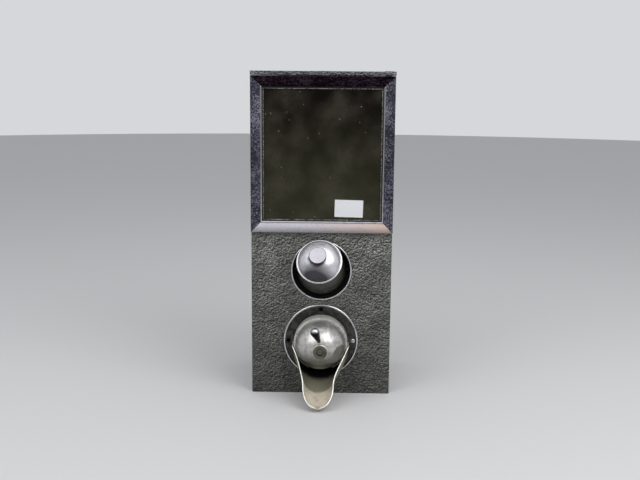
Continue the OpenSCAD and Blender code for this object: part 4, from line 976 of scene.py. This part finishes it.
class MACHINE_OT_spout(bpy.types.Operator):
    """Pressed spout that widens from its round nose to the collar"""

    bl_idname = "machine.spout"
    bl_label = "Spout"

    # Half widths of the rim at the collar and the nose, and the curve between them along the rim's slope
    side_w = 40.8 * MM
    nose_w = 22 * MM
    nose_start = 58 * MM
    nose_power = 0.4
    waist = 44 * MM
    # How far the nose leans to the left, and where along the slope
    lean = 2.4 * MM
    lean_start = 10 * MM
    lean_run = 40 * MM
    # Distances from the front face at which the trough and its slope start
    start = 2 * MM
    knee = 22.2 * MM
    # Heights of the rim at the nose and of the floor at both ends
    tip_z = 7.5 * MM
    floor_back = 39.2 * MM
    floor_tip = 5 * MM
    # Thickness, height of the rolled edge, least sizes at the nose, and the band that is coloured as rim, lighter
    # as a painted highlight
    wall = 1.6 * MM
    roll = 0.75 * MM
    least_half = 0.3 * MM
    least_depth = 0.6 * MM
    rim_band = 1.3 * MM

    def execute(self, context):
        self.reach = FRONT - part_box("outlet_spout")[0].y
        self.top = OUTLET.z - 2 * MM
        self.fall = math.hypot(self.reach - self.knee, self.top - self.tip_z)
        stations = 60
        arc_steps = 36
        shape = bmesh.new()
        # Each ring is drawn out of the last; stations crowd together towards the nose, where it curves most
        ring = [shape.verts.new(p) for p in self.section(0, arc_steps)]
        edges = [shape.edges.new(pair) for pair in zip(ring, ring[1:] + ring[:1])]
        first = list(edges)
        for i in range(1, stations + 1):
            made = bmesh.ops.extrude_edge_only(shape, edges=edges)["geom"]
            fresh = only(made, bmesh.types.BMVert)
            points = self.section(1 - (1 - i / stations) ** 2, arc_steps)
            order = {v: k for k, v in enumerate(ring)}
            following = [None] * len(ring)
            for v in fresh:
                old = next(e.other_vert(v) for e in v.link_edges if e.other_vert(v) in order)
                following[order[old]] = v
            for v, p in zip(following, points):
                v.co = p
            ring = following
            edges = only(made, bmesh.types.BMEdge)
        bmesh.ops.edgeloop_fill(shape, edges=edges)
        bmesh.ops.edgeloop_fill(shape, edges=first)
        bmesh.ops.recalc_face_normals(shape, faces=shape.faces)
        piece = settle(shape, "pressed_spout", "outlet_spout", "spout_nickel",
                       Matrix.Translation((0, FRONT, 0)), crease=60)
        colour_faces(piece, "spout_edge", self.on_rim)
        return {"FINISHED"}

    def slope(self, out):
        """Distance along the rim's slope, and the rim's height, at a distance from the front face."""
        share = max(0, (out - self.knee) / (self.reach - self.knee))
        return share * self.fall, self.top - share * (self.top - self.tip_z)

    def on_rim(self, centre):
        """Whether a place is on the rolled rim."""
        return centre.z > self.slope(FRONT - centre.y)[1] - self.rim_band

    def half(self, s):
        """Half width of the rim at a distance along its slope."""
        if s < self.nose_start:
            a, b = self.nose_start - 2 * self.waist, 2 * self.waist
            t = (-b + math.sqrt(b * b + 4 * a * s)) / (2 * a)
            return self.nose_w + (1 - t) ** 2 * (self.side_w - self.nose_w)
        u = min(1, (s - self.nose_start) / (self.fall - self.nose_start))
        return self.nose_w * (1 - u * u) ** self.nose_power

    def shift(self, s):
        """How far the middle of the trough leans to the left at a distance along its slope."""
        u = max(0, min(1, (s - self.lean_start) / self.lean_run))
        return -self.lean * u * u * (3 - 2 * u)

    def surface(self, share, inset):
        """Middle, half width, distance, rim height and depth of the trough at a share of its length.

        inset is how far inside the outer skin; the nose keeps half as much wall again.
        """
        run = self.reach - self.start
        out = self.start + (run - 1.5 * inset - 0.02 * MM) * share
        s, top = self.slope(out)
        floor = self.floor_back + (self.floor_tip - self.floor_back) * (out - self.start) / run
        half = max(self.least_half, self.half(s) - inset)
        return self.shift(s), half, out, top, max(self.least_depth, top - floor - inset)

    def section(self, share, steps):
        """The trough's outline at a share of its length: outside, rolled edge, inside, rolled edge."""
        outer, inner = self.surface(share, 0), self.surface(share, self.wall)
        return [*self.skin(outer, steps, False), *self.edge(outer, inner, 1),
                *self.skin(inner, steps, True), *self.edge(outer, inner, -1)]

    def skin(self, surface, steps, back):
        """Points of one skin of the trough from its left rim under to its right, or back."""
        mid, half, out, top, depth = surface
        points = []
        for k in range(steps + 1):
            a = math.pi * (1 - k / steps if back else k / steps)
            drop = (depth - self.roll) * math.sin(a)
            points.append(Vector((mid - half * math.cos(a), -out, top - self.roll - drop)))
        return points

    def edge(self, outer, inner, side):
        """Points over the rolled edge between the two skins, on the right (1) or the left (-1)."""
        points = []
        for k in range(1, 6):
            a = math.pi * (k if side > 0 else 6 - k) / 6
            mix = (1 - math.cos(a)) / 2
            mid, half, out, top, _ = (o + (i - o) * mix for o, i in zip(outer, inner))
            points.append(Vector((mid + side * half, -out, top - self.roll + self.roll * math.sin(a))))
        return points


class MACHINE_OT_hardware(bpy.types.Operator):
    """Hinge, locks, coin slot plate and screws"""

    bl_idname = "machine.hardware"
    bl_label = "Hinge, locks and screws"

    def execute(self, context):
        for name in ("lid_hinge_leaf", "cabinet_hinge_leaf"):
            refined(name, "hinge_steel", 0.15 * MM)
        for name in ("lid_lock_body", "lid_lock_plug", "drawer_lock_body", "drawer_lock_plug",
                     "coin_slot_plate"):
            refined(name, "lock_chrome", 0.12 * MM)
        refined("back_screws", "screw_steel")
        dress("hinge_pin", "hinge_steel")
        return {"FINISHED"}


INSIDE = {
    # finish: the nodes that wear it
    "hopper_paint": ("hopper", "hopper_funnel"),
    "zinc_sheet": ("mechanism_shelf", "delivery_tube", "coin_channel", "channel_spacers",
                   "lever_bracket_left", "lever_bracket_right", "spring_arm", "spring_anchor",
                   "lid_strike", "drawer_strike", "drawer_guides"),
    "cast_metal": ("drum_housing", "drum_cap_left", "drum_cap_right"),
    "drum_metal": ("drum",),
    "gear_brass": ("sector_gear", "drum_pinion"),
    "shaft_steel": ("drum_shaft",),
    "spring_steel": ("return_spring",),
}


class MACHINE_OT_inside(bpy.types.Operator):
    """Hopper, drum, gears, chutes and brackets inside the cabinet"""

    bl_idname = "machine.inside"
    bl_label = "Inside"

    def execute(self, context):
        for finish, names in INSIDE.items():
            for name in names:
                dress(name, finish)
        return {"FINISHED"}


# ---- the stage ----

CAMERA_PLACE = Vector((19.6, -1321.0, 454.3)) * MM
CAMERA_PITCH, CAMERA_YAW, CAMERA_ROLL = (math.radians(a) for a in (10.36, 1.01, 0.48))
CAMERA_LENS = 50.0
SENSOR = 36.0
FLOOR_TONE = "#d5d5d6"
FLOOR_R = 6
ROOM_TONE, ROOM_DIM = "#e6e7ea", "#9b9b9e"
ROOM_LIGHT, ROOM_SEEN = 0.6, 0.85
LAMP_AIM = Vector((0, 0, 0.2))
LAMPS = {
    # name: (place, width, height, watts)
    "left_softbox": ((-1.0, -1.0, 1.1), 1.1, 1.1, 5),
    "right_softbox": ((0.95, -1.0, 1.15), 1.1, 1.1, 8.5),
    "top_softbox": ((0.1, -0.8, 1.55), 2.4, 1.8, 11),
}


class MACHINE_OT_stage(bpy.types.Operator):
    """Pale floor, soft lamps, pale surroundings and the camera"""

    bl_idname = "machine.stage"
    bl_label = "Stage"

    def execute(self, context):
        self.floor()
        self.world(context)
        for name, (place, width, height, watts) in LAMPS.items():
            self.lamp(name, Vector(place), width, height, watts)
        self.camera(context)
        context.scene.view_settings.view_transform = "Standard"
        return {"FINISHED"}

    def floor(self):
        """A plain pale disc, which takes a soft shadow and hardly shines."""
        made, tree, shader, _ = start_material("pale_floor")
        connect(tree, shader, {"Base Color": opaque(linear(FLOOR_TONE)), "Roughness": 0.7})
        shape = bmesh.new()
        bmesh.ops.create_circle(shape, cap_ends=True, segments=96, radius=FLOOR_R)
        floor = new_object("floor", new_mesh("floor", shape, made))

    def world(self, context):
        """Pale surroundings, darker towards the horizon in front, as a room is beyond its lamps.

        They are a little lighter to the camera and in reflections than as light.
        """
        world = bpy.data.worlds.new("pale_room")
        context.scene.world = world
        world.use_nodes = True
        tree = world.node_tree
        way = node(tree, "ShaderNodeTexCoord").outputs["Generated"]
        ahead = along(tree, way, (0, -1, 0), 0.2, 0.75)
        low = along(tree, way, (0, 0, -1), -0.42, -0.12)
        dim = number_math(tree, "MULTIPLY", ahead, low)
        path = node(tree, "ShaderNodeLightPath").outputs
        seen = number_math(tree, "MAXIMUM", path["Is Camera Ray"], path["Is Glossy Ray"])
        seen = number_math(tree, "MAXIMUM", seen, path["Is Transmission Ray"])
        connect(tree, tree.nodes["Background"], {
            "Color": blend(tree, dim, linear(ROOM_TONE), linear(ROOM_DIM)),
            "Strength": spread(tree, seen, 0, 1, ROOM_LIGHT, ROOM_SEEN),
        })

    def lamp(self, name, place, width, height, watts):
        """A soft rectangular lamp that faces the machine."""
        light = bpy.data.lights.new(name, "AREA")
        light.shape = "RECTANGLE"
        light.size, light.size_y, light.energy = width, height, watts
        lamp = new_object(name, light)
        lamp.location = place
        lamp.rotation_euler = (LAMP_AIM - place).to_track_quat("-Z", "Y").to_euler()

    def camera(self, context):
        """The camera, a little above the window and looking slightly down."""
        lens = bpy.data.cameras.new("camera")
        lens.lens, lens.sensor_width = CAMERA_LENS, SENSOR
        camera = new_object("camera", lens)
        turn = (Matrix.Rotation(CAMERA_YAW, 4, "Z") @ Matrix.Rotation(math.pi / 2 - CAMERA_PITCH, 4, "X")
                @ Matrix.Rotation(CAMERA_ROLL, 4, "Z"))
        camera.matrix_world = Matrix.Translation(CAMERA_PLACE) @ turn
        context.scene.camera = camera


# ---- the add-on ----

PIECES = (MACHINE_OT_cabinet, MACHINE_OT_window_frame, MACHINE_OT_window, MACHINE_OT_label, MACHINE_OT_knob,
          MACHINE_OT_recess, MACHINE_OT_outlet, MACHINE_OT_dome, MACHINE_OT_spout, MACHINE_OT_hardware,
          MACHINE_OT_inside, MACHINE_OT_stage)


class MACHINE_PT_looks(bpy.types.Panel):
    """Lists the pieces, and the sizes and colours that they are made with"""

    bl_idname = "MACHINE_PT_looks"
    bl_label = "Gumball machine"
    bl_space_type = "VIEW_3D"
    bl_region_type = "UI"
    bl_category = "Gumball"

    def draw(self, context):
        for piece in PIECES:
            self.layout.operator(piece.bl_idname)
        for group in (context.scene.machine_sizes, context.scene.machine_colours):
            box = self.layout.box()
            for name in group.bl_rna.properties.keys():
                if name not in ("rna_type", "name"):
                    box.prop(group, name)


CLASSES = (MachineSizes, MachineColours, *PIECES, MACHINE_PT_looks)


def register():
    """Adds the classes and the two groups of properties."""
    for kind in CLASSES:
        bpy.utils.register_class(kind)
    bpy.types.Scene.machine_sizes = bpy.props.PointerProperty(type=MachineSizes)
    bpy.types.Scene.machine_colours = bpy.props.PointerProperty(type=MachineColours)


def unregister():
    """Takes away what register adds."""
    del bpy.types.Scene.machine_colours
    del bpy.types.Scene.machine_sizes
    for kind in reversed(CLASSES):
        bpy.utils.unregister_class(kind)


def main():
    """Registers the add-on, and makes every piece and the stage."""
    register()
    for piece in PIECES:
        group, name = piece.bl_idname.split(".")
        getattr(getattr(bpy.ops, group), name)()


if __name__ == "__main__":
    main()
